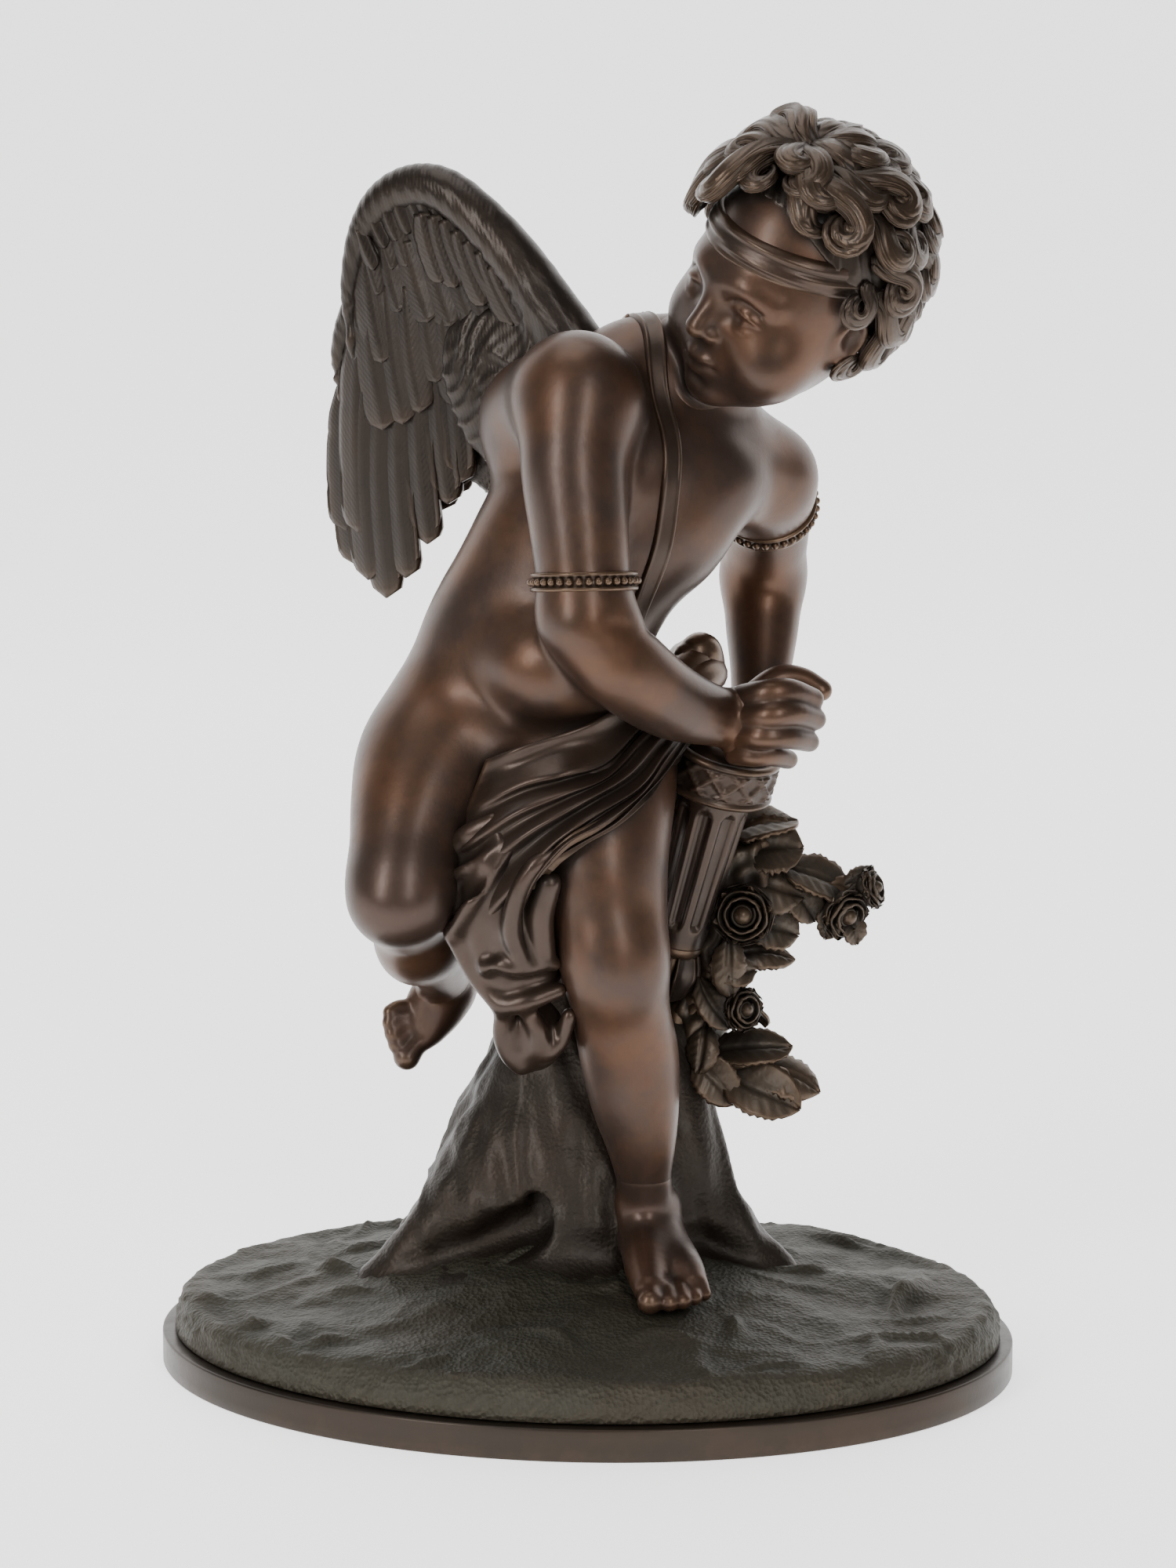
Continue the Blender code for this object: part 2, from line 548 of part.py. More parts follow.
def roses():
    """Rose stems, flowers, buds and leaves on the stump's right side."""
    pieces = [
        tube([(22, 16, 96, 5), (34, 12, 112, 4.5), (46, 10, 130, 4), (56, 10, 146, 4), (70, 14, 152, 3.2),
              (92, 17, 148, 2.6)], around=8),
        tube([(30, 18, 84, 5), (42, 12, 92, 4), (54, 8, 94, 3.4), (70, 8, 90, 2.6)], around=8),
        tube([(40, 14, 150, 6), (52, 14, 164, 5), (62, 14, 172, 4)], around=8),
        tube([(30, 12, 108, 6), (44, 10, 116, 4), (55, 6, 116, 3.5)], around=8),
        tube([(70, 14, 152, 3), (88, 18, 152, 2.4), (102, 20, 153, 2.2)], around=8),
        ball(44, 16, 142, 12, 12, 26),
        ball(38, 16, 104, 12, 12, 22),
    ]
    pieces += rose(55, 3, 149, 7.6, (-0.1, -1.0, 0.15))
    pieces += rose(93, 15, 143, 7.4, (0.5, -0.7, -0.25))
    pieces += rose(103, 20, 153, 5.4, (0.9, -0.35, 0.3))
    pieces += rose(56, 4, 115, 6.2, (0.6, -0.8, 0.1))
    leaves = (
        ((54, 12, 166), (80, 14, 172), 10, (-0.2, -0.8, 0.55)), ((50, 14, 172), (76, 20, 182), 9, (-0.2, -0.5, 0.8)),
        ((52, 10, 158), (80, 10, 152), 9, (0.1, -0.8, 0.6)), ((76, 16, 160), (97, 18, 147), 8, (0.3, -0.5, 0.8)),
        ((56, 10, 144), (84, 12, 137), 7, (0.2, -0.9, 0.2)), ((52, 12, 138), (78, 16, 124), 6.5, (0.2, -0.9, 0.3)),
        ((48, 2, 142), (52, -1, 122), 6, (0.0, -1.0, 0.2)), ((42, 10, 98), (72, 8, 100), 7, (0.0, -0.7, 0.7)),
        ((46, 8, 92), (80, 2, 76), 8, (-0.1, -0.8, 0.6)), ((60, 10, 90), (88, 10, 80), 7.5, (0.2, -0.6, 0.7)),
        ((38, 6, 96), (54, 2, 78), 6.5, (-0.2, -0.9, 0.3)), ((88, 16, 146), (99, 14, 133), 4.5, (0.4, -0.8, 0.0)),
        ((48, 22, 150), (70, 34, 160), 9, (0.2, 0.5, 0.8)), ((44, 26, 132), (62, 42, 122), 8, (0.4, 0.7, 0.4)),
    )
    pieces += [leaf(*values) for values in leaves]
    return pieces


def on_oval(turn, inset):
    """A point of the plinth's oval, in mm, drawn in by the inset."""
    half_long = (PLINTH_LENGTH / 2 - inset) / SHARE
    half_wide = (PLINTH_WIDTH / 2 - inset) / SHARE
    x, y = half_long * math.cos(turn), half_wide * math.sin(turn)
    c, s = math.cos(PLINTH_TURN), math.sin(PLINTH_TURN)
    return x * c - y * s, x * s + y * c


def rise(x, y):
    """Height of the ground in mm over the group's underside, away from its steep edge."""
    swell = 13.0 + 14.0 * math.exp(-((x / 85) ** 2 + ((y - 8) / 62) ** 2))
    return swell + 0.8 * math.sin(x / 13 + 0.6 * math.sin(y / 9)) * math.sin(y / 11 + 1)


def ground():
    """The earth mound: a steep edge all round the oval, and an uneven top."""
    around = 120
    levels = [(LEDGE, -3.0, 0.0), (LEDGE, 1.0, 0.0), (LEDGE + 0.0006, 5.0, 0.0), (LEDGE + 0.0016, 8.5, 0.0),
              (LEDGE + 0.004, GROUND_EDGE / SHARE, 0.2)]
    rings = []
    for inset, level, share_top in levels:
        ring = []
        for j in range(around):
            turn = j * 2 * math.pi / around
            x, y = on_oval(turn, inset)
            wobble = 0.35 * math.sin(turn * 17) * (level > 0)
            ring.append((x, y, level + wobble + share_top * (rise(x, y) - level)))
        rings.append(ring)
    for scale in (0.92, 0.84, 0.74, 0.64, 0.54, 0.43, 0.32, 0.2, 0.08):
        ring = []
        for j in range(around):
            x, y = on_oval(j * 2 * math.pi / around, LEDGE)
            ring.append((x * scale, y * scale, rise(x * scale, y * scale)))
        rings.append(ring)
    return [loft(rings)]


# Assembly


def material(node, name, colour, roughness):
    """A finish of its own for a node."""
    finish = bpy.data.materials.new(name)
    finish.use_nodes = True
    shader = finish.node_tree.nodes["Principled BSDF"]
    shader.inputs["Base Color"].default_value = (*colour, 1.0)
    shader.inputs["Metallic"].default_value = 1.0
    shader.inputs["Roughness"].default_value = roughness
    node.data.materials.clear()
    node.data.materials.append(finish)


def make_plinth():
    bpy.ops.mesh.primitive_cylinder_add(vertices=128, radius=0.5, depth=1.0)
    plinth = bpy.context.object
    plinth.name = "plinth"
    plinth.dimensions = (PLINTH_LENGTH, PLINTH_WIDTH, PLINTH_HEIGHT)
    plinth.rotation_euler = (0, 0, PLINTH_TURN)
    plinth.location = (0, 0, PLINTH_HEIGHT / 2)
    bpy.ops.object.transform_apply(location=True, rotation=True, scale=True)
    bevel = plinth.modifiers.new("Worn edge", "BEVEL")
    bevel.width = PLINTH_CHAMFER
    bevel.segments = 1
    bevel.limit_method = "ANGLE"
    bevel.angle_limit = math.radians(60)
    material(plinth, "plinth_bronze", (0.10, 0.065, 0.045), 0.42)


def make_group():
    body = fuse("body", torso() + right_arm() + left_arm() + left_leg() + right_leg() + head(),
                BODY_VOXEL * SHARE / MM, BODY_SMOOTHING)
    crisp = toes() + right_hand() + left_hand() + hair() + blindfold() + drapery() + strap() + quiver() + arm_rings()
    crisp += wing((-9, 15, 351), 159, 1.0) + wing((-9, 34, 331), 166, 1.0, lifted=0.74)
    crisp += stump() + roses() + ground()
    group = fuse("cupid_group", [body] + crisp, GROUP_VOXEL * SHARE / MM, GROUP_SMOOTHING)
    group.location = (0, 0, PLINTH_HEIGHT + SEAT_GAP)
    bpy.ops.object.transform_apply(location=True, rotation=True, scale=True)
    thin = group.modifiers.new("Thin", "DECIMATE")
    thin.ratio = GROUP_TRIANGLES / (2 * len(group.data.polygons))
    thin.use_collapse_triangulate = True
    bpy.ops.object.convert(target="MESH")
    bpy.ops.mesh.primitive_cube_add(size=1, location=(0, 0, PLINTH_HEIGHT + SEAT_GAP - 0.5))
    cutter = bpy.context.object
    cutter.name = "underside_cutter"
    cutter.hide_render = True
    cutter.display_type = "WIRE"
    cut = group.modifiers.new("Flat underside", "BOOLEAN")
    cut.operation = "DIFFERENCE"
    cut.solver = "EXACT"
    cut.object = cutter
    material(group, "bronze", (0.075, 0.045, 0.03), 0.38)


def main():
    for thing in list(bpy.data.objects):
        bpy.data.objects.remove(thing)
    make_plinth()
    make_group()


main()
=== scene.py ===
"""A patinated bronze statuette of a running winged cupid by a rose-grown stump, on an oval plinth.

Every length in the sub-assemblies is in mm, and heights count from the underside of the cast group, which
rests on the plinth. The front is -Y, and +X is the viewer's right. A station is a row of x, y, z and a
radius. Pieces are made in metres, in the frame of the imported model.
"""

import logging
import math
from dataclasses import dataclass, field
from enum import Enum
from typing import Any, Callable, ClassVar, Optional, Sequence

import bpy
import numpy as np
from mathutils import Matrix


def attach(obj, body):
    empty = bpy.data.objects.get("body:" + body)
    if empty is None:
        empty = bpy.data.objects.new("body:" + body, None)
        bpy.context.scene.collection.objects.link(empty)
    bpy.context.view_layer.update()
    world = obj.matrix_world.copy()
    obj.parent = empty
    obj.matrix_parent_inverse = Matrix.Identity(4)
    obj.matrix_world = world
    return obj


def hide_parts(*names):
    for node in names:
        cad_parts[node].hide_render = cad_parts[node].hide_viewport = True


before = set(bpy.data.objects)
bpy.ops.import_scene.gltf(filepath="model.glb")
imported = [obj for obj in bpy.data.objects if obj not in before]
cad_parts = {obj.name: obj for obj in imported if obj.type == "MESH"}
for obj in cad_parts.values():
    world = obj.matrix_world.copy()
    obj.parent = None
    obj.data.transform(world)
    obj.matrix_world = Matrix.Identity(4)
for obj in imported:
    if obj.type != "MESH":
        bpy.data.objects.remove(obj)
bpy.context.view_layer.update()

import openvdb
from mathutils import Vector

LOG = logging.getLogger("cupid")
MM = 0.001
SEAT = 11.8  # height of the cast group's underside over the floor
FAR = 30.0  # distance that a block of clay holds where it is empty
LAP = 6.0  # how far two pieces of skin run past the seam between them
SINK = 0.9  # how far their rims are drawn in there, so that the seam doesn't show
Array = np.ndarray
Station = Sequence[float]


def unit(vector: Sequence[float]) -> Array:
    """The vector at length one."""
    v = np.asarray(vector, float)
    return v / np.linalg.norm(v)


def units(vectors: Array) -> Array:
    """Each row of vectors at length one."""
    return vectors / np.maximum(np.linalg.norm(vectors, axis=-1, keepdims=True), 1e-9)


def spline(stations: Sequence[Station], steps: int = 6) -> Array:
    """A smooth curve through stations.

    Args:
        stations: Rows of numbers, such as x, y, z and a radius.
        steps: How many rows come of each span.

    Returns:
        The rows of the finer curve, with the first and last station kept.
    """
    knots = np.asarray(stations, float)
    knots = np.vstack([2 * knots[0] - knots[1], knots, 2 * knots[-1] - knots[-2]])
    rows = []
    for a, b, c, d in zip(knots, knots[1:], knots[2:], knots[3:]):
        t = (np.arange(steps) / steps)[:, None]
        rows.append(b + 0.5 * t * (c - a + t * (2 * a - 5 * b + 4 * c - d + t * (3 * (b - c) + d - a))))
    return np.vstack(rows + [knots[-2]])


def even(path: Array, count: int) -> Array:
    """The path again with count rows at equal steps of length.

    Args:
        path: Rows that start with x, y and z.
        count: How many rows are wanted.

    Returns:
        The new rows.
    """
    steps = np.linalg.norm(np.diff(path[:, :3], axis=0), axis=1)
    reach = np.concatenate([[0], np.cumsum(steps)])
    at = np.linspace(0, reach[-1], count)
    return np.stack([np.interp(at, reach, path[:, i]) for i in range(path.shape[1])], 1)


def frames(spine: Array, toward: Sequence[float] | Array) -> tuple[Array, Array, Array]:
    """Tangent, side and up along a spine.

    Args:
        spine: Points of the curve.
        toward: One vector, or one for each point, that up is kept near.

    Returns:
        Three arrays of unit vectors.
    """
    along = units(np.gradient(spine, axis=0))
    side = units(np.cross(np.broadcast_to(np.asarray(toward, float), along.shape), along))
    return along, side, np.cross(along, side)


def ripple(points: Array, length: float, seed: int, count: int = 14) -> Array:
    """Soft unevenness in space.

    Args:
        points: Where to read it, in mm.
        length: Typical distance from one crest to the next, in mm.
        seed: Which pattern.
        count: How many waves are summed.

    Returns:
        One value for each point, mostly between -1 and 1.
    """
    rng = np.random.default_rng(seed)
    ways = units(rng.normal(size=(count, 3))) * (2 * math.pi / length) * rng.uniform(0.6, 1.5, (count, 1))
    phases = rng.uniform(0, 2 * math.pi, count)
    return np.sin(points @ ways.T + phases).sum(1) / math.sqrt(count / 1.2)


class Clay:
    """A block of signed distances on a regular grid that is worked like modelling clay."""

    def __init__(self, low: Sequence[float], high: Sequence[float], voxel: float) -> None:
        """Starts an empty block.

        Args:
            low: Lowest corner.
            high: Highest corner.
            voxel: Grid step.
        """
        self.low = np.asarray(low, float)
        self.voxel = voxel
        self.shape = np.ceil((np.asarray(high, float) - self.low) / voxel).astype(int) + 1
        self.field = np.full(self.shape, FAR, np.float32)

    def window(self, low: Array, high: Array) -> Optional[tuple[Array, Array]]:
        """First and last grid index of a box, or nothing where it misses the block.

        Args:
            low: Lowest corner.
            high: Highest corner.

        Returns:
            The first index and the one past the last, or nothing.
        """
        first = np.maximum(np.floor((low - self.low) / self.voxel).astype(int), 0)
        last = np.minimum(np.ceil((high - self.low) / self.voxel).astype(int) + 1, self.shape)
        return None if (last - first < 1).any() else (first, last)

    def places(self, first: Array, last: Array) -> list[Array]:
        """Open coordinate arrays of a window."""
        axes = [(self.low[i] + self.voxel * np.arange(first[i], last[i])).astype(np.float32)
                for i in range(3)]
        return np.meshgrid(*axes, indexing="ij", sparse=True)

    def put(self, first: Array, last: Array, shape: Array, soft: float, cut: bool) -> None:
        """Joins a shape to the clay, or takes it away, over a soft seam.

        Args:
            first: First grid index on each axis.
            last: Grid index past the last on each axis.
            shape: Signed distances over the window.
            soft: Width of the seam with what is there.
            cut: Whether it is carved away.
        """
        spans = tuple(slice(a, b) for a, b in zip(first, last))
        old = self.field[spans] * (-1 if cut else 1)
        seam = np.clip(0.5 + 0.5 * (shape - old) / max(soft, 1e-3), 0, 1)
        new = shape + (old - shape) * seam - max(soft, 1e-3) * seam * (1 - seam)
        self.field[spans] = -new if cut else new

    def join(self, other: "Clay", soft: float) -> None:
        """Joins another block of the same size over a soft seam."""
        self.put(np.zeros(3, int), self.shape, other.field, soft, False)

    def chain(self, stations: Sequence[Station], soft: float = 2.0, cut: bool = False, steps: int = 5,
              squash: Sequence[float] = (1, 1, 1)) -> None:
        """A limb with a changing radius.

        Args:
            stations: Rows of x, y, z and radius.
            soft: Width of the seam with what is there.
            cut: Whether it is carved away.
            steps: Fineness of the curve.
            squash: Scale of the cross-section along each axis.
        """
        path = spline(stations, steps)
        reach = path[:, 3].max() + soft + 2 * self.voxel
        box = self.window(path[:, :3].min(0) - reach, path[:, :3].max(0) + reach)
        if box is None:
            return
        first, last = box
        best = np.full(last - first, FAR, np.float32)
        flat = np.asarray(squash, float)
        for a, b in zip(path, path[1:]):
            room = max(a[3], b[3]) + soft + 2 * self.voxel
            part = self.window(np.minimum(a[:3], b[:3]) - room, np.maximum(a[:3], b[:3]) + room)
            if part is None:
                continue
            x, y, z = (c / s for c, s in zip(self.places(*part), flat))
            p, q = a[:3] / flat, b[:3] / flat
            d = q - p
            t = np.clip(((x - p[0]) * d[0] + (y - p[1]) * d[1] + (z - p[2]) * d[2]) / max(d @ d, 1e-9), 0, 1)
            gap = (x - p[0] - t * d[0]) ** 2 + (y - p[1] - t * d[1]) ** 2 + (z - p[2] - t * d[2]) ** 2
            shape = (np.sqrt(gap) - a[3] - (b[3] - a[3]) * t) * flat.min()
            spans = tuple(slice(i - o, j - o) for i, j, o in zip(*part, first))
            np.minimum(best[spans], shape, out=best[spans])
        self.put(first, last, best, soft, cut)

    def ball(self, centre: Station, radii: Sequence[float] | float, soft: float = 2.0, cut: bool = False,
             turn: Optional[Array] = None) -> None:
        """An ellipsoid.

        Args:
            centre: Its middle.
            radii: One radius, or three along its axes.
            soft: Width of the seam with what is there.
            cut: Whether it is carved away.
            turn: Rows that hold its axes, where they aren't the frame's.
        """
        r = np.broadcast_to(np.asarray(radii, float), (3,))
        reach = r.max() + soft + 2 * self.voxel
        c = np.asarray(centre, float)
        box = self.window(c - reach, c + reach)
        if box is None:
            return
        x, y, z = self.places(*box)
        x, y, z = x - c[0], y - c[1], z - c[2]
        if turn is not None:
            x, y, z = (x * row[0] + y * row[1] + z * row[2] for row in np.asarray(turn))
        k = np.sqrt((x / r[0]) ** 2 + (y / r[1]) ** 2 + (z / r[2]) ** 2)
        g = np.sqrt((x / r[0] ** 2) ** 2 + (y / r[1] ** 2) ** 2 + (z / r[2] ** 2) ** 2)
        self.put(*box, (k * (k - 1) / np.maximum(g, 1e-6)).astype(np.float32), soft, cut)

    def slab(self, height: Callable[[Array, Array], Array], soft: float) -> None:
        """All that lies under a height given over x and y.

        Args:
            height: Gives the height from x and y.
            soft: Width of the seam with what is there.
        """
        first, last = np.zeros(3, int), self.shape
        x, y, z = self.places(first, last)
        self.put(first, last, (z - height(x, y)).astype(np.float32) * 0.9, soft, False)

    def trim(self, point: Station, way: Station, sink: float = 0.0) -> None:
        """Keeps only what lies behind a plane that faces the way given, and draws the rim in by the sink.

        Args:
            point: A place on the plane.
            way: The side that goes.
            sink: How far the rim is drawn in.
        """
        x, y, z = self.places(np.zeros(3, int), self.shape)
        w, p = unit(way), np.asarray(point, float)
        plane = (x - p[0]) * w[0] + (y - p[1]) * w[1] + (z - p[2]) * w[2]
        self.field = np.maximum(self.field + sink * np.clip(1 + plane / LAP, 0, 1), plane).astype(np.float32)

    def ease(self, passes: int) -> None:
        """Evens the clay out, so that the seams between strokes go.

        Args:
            passes: How often it is evened.
        """
        for _ in range(passes):
            for axis in range(3):
                f = np.moveaxis(self.field, axis, 0)
                f[1:-1] = (f[:-2] + 2 * f[1:-1] + f[2:]) / 4

    def read(self, points: Array) -> Array:
        """The signed distance at each point, between grid places.

        Args:
            points: Places, in rows of x, y and z.

        Returns:
            One distance for each point.
        """
        at = (points - self.low) / self.voxel
        base = np.clip(np.floor(at).astype(int), 0, self.shape - 2)
        f = np.clip(at - base, 0, 1)
        total = np.zeros(len(points))
        for corner in np.ndindex(2, 2, 2):
            weight = np.prod(np.where(corner, f, 1 - f), axis=1)
            i, j, k = (base + corner).T
            total += weight * self.field[i, j, k]
        return total

    def slope(self, points: Array) -> Array:
        """The direction in which the distance grows fastest at each point, unscaled.

        Args:
            points: Places, in rows of x, y and z.

        Returns:
            One vector for each point.
        """
        h = self.voxel
        steps = np.eye(3) * h
        return np.stack([(self.read(points + s) - self.read(points - s)) / (2 * h) for s in steps], 1)

    def settle(self, points: Array, way: Array, reach: float = 30.0) -> Array:
        """Points moved onto the surface.

        Args:
            points: Guides near or in the clay.
            way: Unit vectors that point out of the clay.
            reach: How far out the search starts.

        Returns:
            Where a line from outside first meets the clay.
        """
        gone = np.full(len(points), reach)
        for _ in range(60):
            gone -= np.clip(self.read(points + way * gone[:, None]), -1, 4) * 0.8
        return points + way * gone[:, None]

    def skin(self) -> tuple[Array, Array]:
        """Points and quads of the surface, evened out.

        Returns:
            Rows of x, y and z, and four point numbers for each quad.
        """
        grid = openvdb.FloatGrid(FAR)
        grid.copyFromArray(self.field)
        points, quads = grid.convertToQuads(isovalue=0.0)
        points, quads = np.asarray(points, float), np.asarray(quads, np.int64)
        points = self.low + points * self.voxel
        links = np.vstack([quads[:, [0, 1]], quads[:, [1, 2]], quads[:, [2, 3]], quads[:, [3, 0]]])
        for _ in range(2):
            points += 0.6 * (neighbour_mean(points, links) - points)
            slope = self.slope(points)
            step = self.read(points)[:, None] * slope / np.maximum((slope ** 2).sum(1), 0.2)[:, None]
            points -= np.clip(step, -0.6 * self.voxel, 0.6 * self.voxel)
        return points, quads


def neighbour_mean(values: Array, links: Array) -> Array:
    """The mean over each point's neighbours, with links both ways in the list.

    Args:
        values: One row for each point.
        links: Pairs of neighbouring points.

    Returns:
        The means, shaped as the values.
    """
    size = len(values)
    a, b = np.concatenate([links[:, 0], links[:, 1]]), np.concatenate([links[:, 1], links[:, 0]])
    count = np.maximum(np.bincount(a, minlength=size), 1)
    flat = values.reshape(size, -1)
    sums = [np.bincount(a, weights=flat[b, i], minlength=size) for i in range(flat.shape[1])]
    return (np.stack(sums, 1) / count[:, None]).reshape(values.shape)


class Mould:
    """Gathers closed shells, in mm, that make one piece."""

    def __init__(self) -> None:
        """Starts with nothing in it."""
        self.points: list[Array] = []
        self.grain: list[Array] = []
        self.quads: list[Array] = []
        self.tris: list[Array] = []
        self.size = 0

    def shell(self, points: Array, quads: Array, tris: Optional[Array] = None,
              grain: Optional[Array] = None) -> None:
        """Adds a closed shell.

        Args:
            points: Its points.
            quads: Its four-sided faces, facing out.
            tris: Its three-sided faces.
            grain: Distance along and across the piece at each point, for its finish.
        """
        self.points.append(np.asarray(points, float))
        self.grain.append(np.zeros((len(points), 3)) if grain is None else grain)
        self.quads.append(np.asarray(quads, np.int64) + self.size)
        if tris is not None and len(tris):
            self.tris.append(np.asarray(tris, np.int64) + self.size)
        self.size += len(points)

    def rings(self, rings: Array, grain: Optional[Array] = None) -> None:
        """Adds a loft through rings of equally many points, closed by a fan at both ends.

        Args:
            rings: Rings by points by x, y and z.
            grain: Distance along and across at each point.
        """
        rings = np.asarray(rings, float)
        rows, around = rings.shape[:2]
        ends = np.stack([rings[0].mean(0), rings[-1].mean(0)])
        i, j = np.meshgrid(np.arange(rows - 1), np.arange(around), indexing="ij")
        k = (j + 1) % around
        quads = np.stack([i * around + j, i * around + k, (i + 1) * around + k, (i + 1) * around + j], -1)
        turn = np.arange(around)
        after, last, mid = (turn + 1) % around, (rows - 1) * around, rows * around
        tris = np.vstack([np.stack([np.full(around, mid), after, turn], 1),
                          np.stack([np.full(around, mid + 1), last + turn, last + after], 1)])
        if grain is not None:
            grain = np.vstack([grain.reshape(-1, 3), grain[0].mean(0), grain[-1].mean(0)])
        self.shell(np.vstack([rings.reshape(-1, 3), ends]), quads.reshape(-1, 4), tris, grain)

    def hoop(self, rings: Array) -> None:
        """Adds a loft through rings that closes on itself.

        Args:
            rings: Rings by points by x, y and z.
        """
        rings = np.asarray(rings, float)
        rows, around = rings.shape[:2]
        i, j = np.meshgrid(np.arange(rows), np.arange(around), indexing="ij")
        k, m = (j + 1) % around, (i + 1) % rows
        quads = np.stack([i * around + j, i * around + k, m * around + k, m * around + j], -1)
        self.shell(rings.reshape(-1, 3), quads.reshape(-1, 4))

    def sheet(self, front: Array, back: Array, grain: Optional[Array] = None) -> None:
        """Adds a closed plate between a front and a back grid of points, open nowhere.

        Args:
            front: Rows by columns of points, seen from outside.
            back: The same grid on the far side.
            grain: Distance along and across at each front point.
        """
        rows, columns = front.shape[:2]
        size = rows * columns
        i, j = np.meshgrid(np.arange(rows - 1), np.arange(columns - 1), indexing="ij")
        a, b = i * columns + j, i * columns + j + 1
        c, d = b + columns, a + columns
        face = np.stack([a, b, c, d], -1).reshape(-1, 4)
        loop = np.concatenate([np.arange(columns - 1), np.arange(rows - 1) * columns + columns - 1,
                               size - 1 - np.arange(columns - 1),
                               (rows - 1 - np.arange(rows - 1)) * columns])
        after = np.roll(loop, -1)
        rim = np.stack([loop, loop + size, after + size, after], 1)
        quads = np.vstack([face, face[:, ::-1] + size, rim])
        if grain is not None:
            grain = np.vstack([grain.reshape(-1, 3)] * 2)
        points = np.vstack([front.reshape(-1, 3), back.reshape(-1, 3)])
        self.shell(points, quads, None, grain)

    def tube(self, path: Array, around: int, toward: Sequence[float] | Array = (0, -1, 0.02),
             shape: Optional[Callable[[Array, Array], Array]] = None, flat: float = 1.0) -> None:
        """Adds a tube with domed ends.

        Args:
            path: Rows of x, y, z and radius.
            around: Points in each ring.
            toward: Where the top of its section faces.
            shape: Gives a factor on the radius from the turn and the share of the length.
            flat: Thickness over width.
        """
        toward = np.broadcast_to(np.asarray(toward, float), (len(path), 3))
        ends = []
        for end, inner, t in ((path[0], path[1], toward[0]), (path[-1], path[-2], toward[-1])):
            out = unit(end[:3] - inner[:3])
            rows = [np.append(end[:3] + out * end[3] * math.sin(a), end[3] * math.cos(a))
                    for a in (0.5, 1.0, 1.42)]
            ends.append((rows, t))
        path = np.vstack([ends[0][0][::-1], path, ends[1][0]])
        toward = np.vstack([np.repeat(ends[0][1][None], 3, 0), toward, np.repeat(ends[1][1][None], 3, 0)])
        _, side, up = frames(path[:, :3], toward)
        turn = np.arange(around) * 2 * math.pi / around
        share = np.linspace(0, 1, len(path))[:, None]
        radius = path[:, 3:4] * (shape(turn[None], share) if shape else np.ones((len(path), around)))
        rings = (path[:, None, :3] + (radius * np.cos(turn))[..., None] * side[:, None]
                 + (flat * radius * np.sin(turn))[..., None] * up[:, None])
        steps = np.linalg.norm(np.diff(path[:, :3], axis=0), axis=1)
        along = np.concatenate([[0], np.cumsum(steps)])
        grain = np.stack(np.broadcast_arrays(along[:, None], path[:, 3:4] * np.sin(turn), share), -1)
        self.rings(rings, grain)

    def bead(self, centre: Array, radius: float, rows: int = 6, around: int = 10) -> None:
        """Adds a small ball.

        Args:
            centre: Its middle.
            radius: Its radius.
            rows: Rings from end to end.
            around: Points in each ring.
        """
        lift = np.linspace(-0.47, 0.47, rows)[:, None] * math.pi
        turn = np.arange(around) * 2 * math.pi / around
        ring = np.stack([np.cos(lift) * np.cos(turn), np.cos(lift) * np.sin(turn),
                         np.broadcast_to(np.sin(lift), (rows, around))], -1)
        self.rings(centre + radius * ring)

    def piece(self, name: str, finish: "Bronze") -> bpy.types.Object:
        """Makes the piece in the scene.

        Args:
            name: Its name.
            finish: Its surface.

        Returns:
            The object, at the origin and in metres.
        """
        points = np.vstack(self.points)
        quads = np.vstack(self.quads)
        tris = np.vstack(self.tris) if self.tris else np.zeros((0, 3), np.int64)
        mesh = bpy.data.meshes.new(name)
        mesh.vertices.add(len(points))
        mesh.vertices.foreach_set("co", ((points + (0, 0, SEAT)) * MM).astype(np.float32).ravel())
        loops = np.concatenate([quads.ravel(), tris.ravel()]).astype(np.int32)
        starts = np.concatenate([np.arange(len(quads)) * 4, len(quads) * 4 + np.arange(len(tris)) * 3])
        mesh.loops.add(len(loops))
        mesh.loops.foreach_set("vertex_index", loops)
        mesh.polygons.add(len(starts))
        mesh.polygons.foreach_set("loop_start", starts.astype(np.int32))
        mesh.polygons.foreach_set("use_smooth", np.ones(len(starts), bool))
        mesh.update(calc_edges=True)
        grain = mesh.attributes.new("grain", "FLOAT_VECTOR", "POINT")
        grain.data.foreach_set("vector", np.vstack(self.grain).astype(np.float32).ravel())
        made = bpy.data.objects.new(name, mesh)
        bpy.context.collection.objects.link(made)
        made.data.materials.append(finish.material())
        links = np.vstack([quads[:, [0, 1]], quads[:, [1, 2]], quads[:, [2, 3]], quads[:, [3, 0]],
                           tris[:, [0, 1]], tris[:, [1, 2]], tris[:, [2, 0]]])
        normals = np.zeros(len(points) * 3, np.float32)
        mesh.vertices.foreach_get("normal", normals)
        Patina.note(made, points, normals.reshape(-1, 3), links)
        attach(made, "root")
        LOG.info("%s: %d faces", name, len(quads) * 2 + len(tris))
        return made


class Seam(Enum):
    """Seams between the body and a hand or foot: a place, the way it faces, and how far it reaches."""

    WRIST = ((49, -21, 222), (1, 0.1, -0.1), 18)
    ANKLE = ((20, -22, 60), (0, 0, -1), 18)
    HEEL = ((-50, 34, 119), (0.1, 0.75, -0.65), 16)


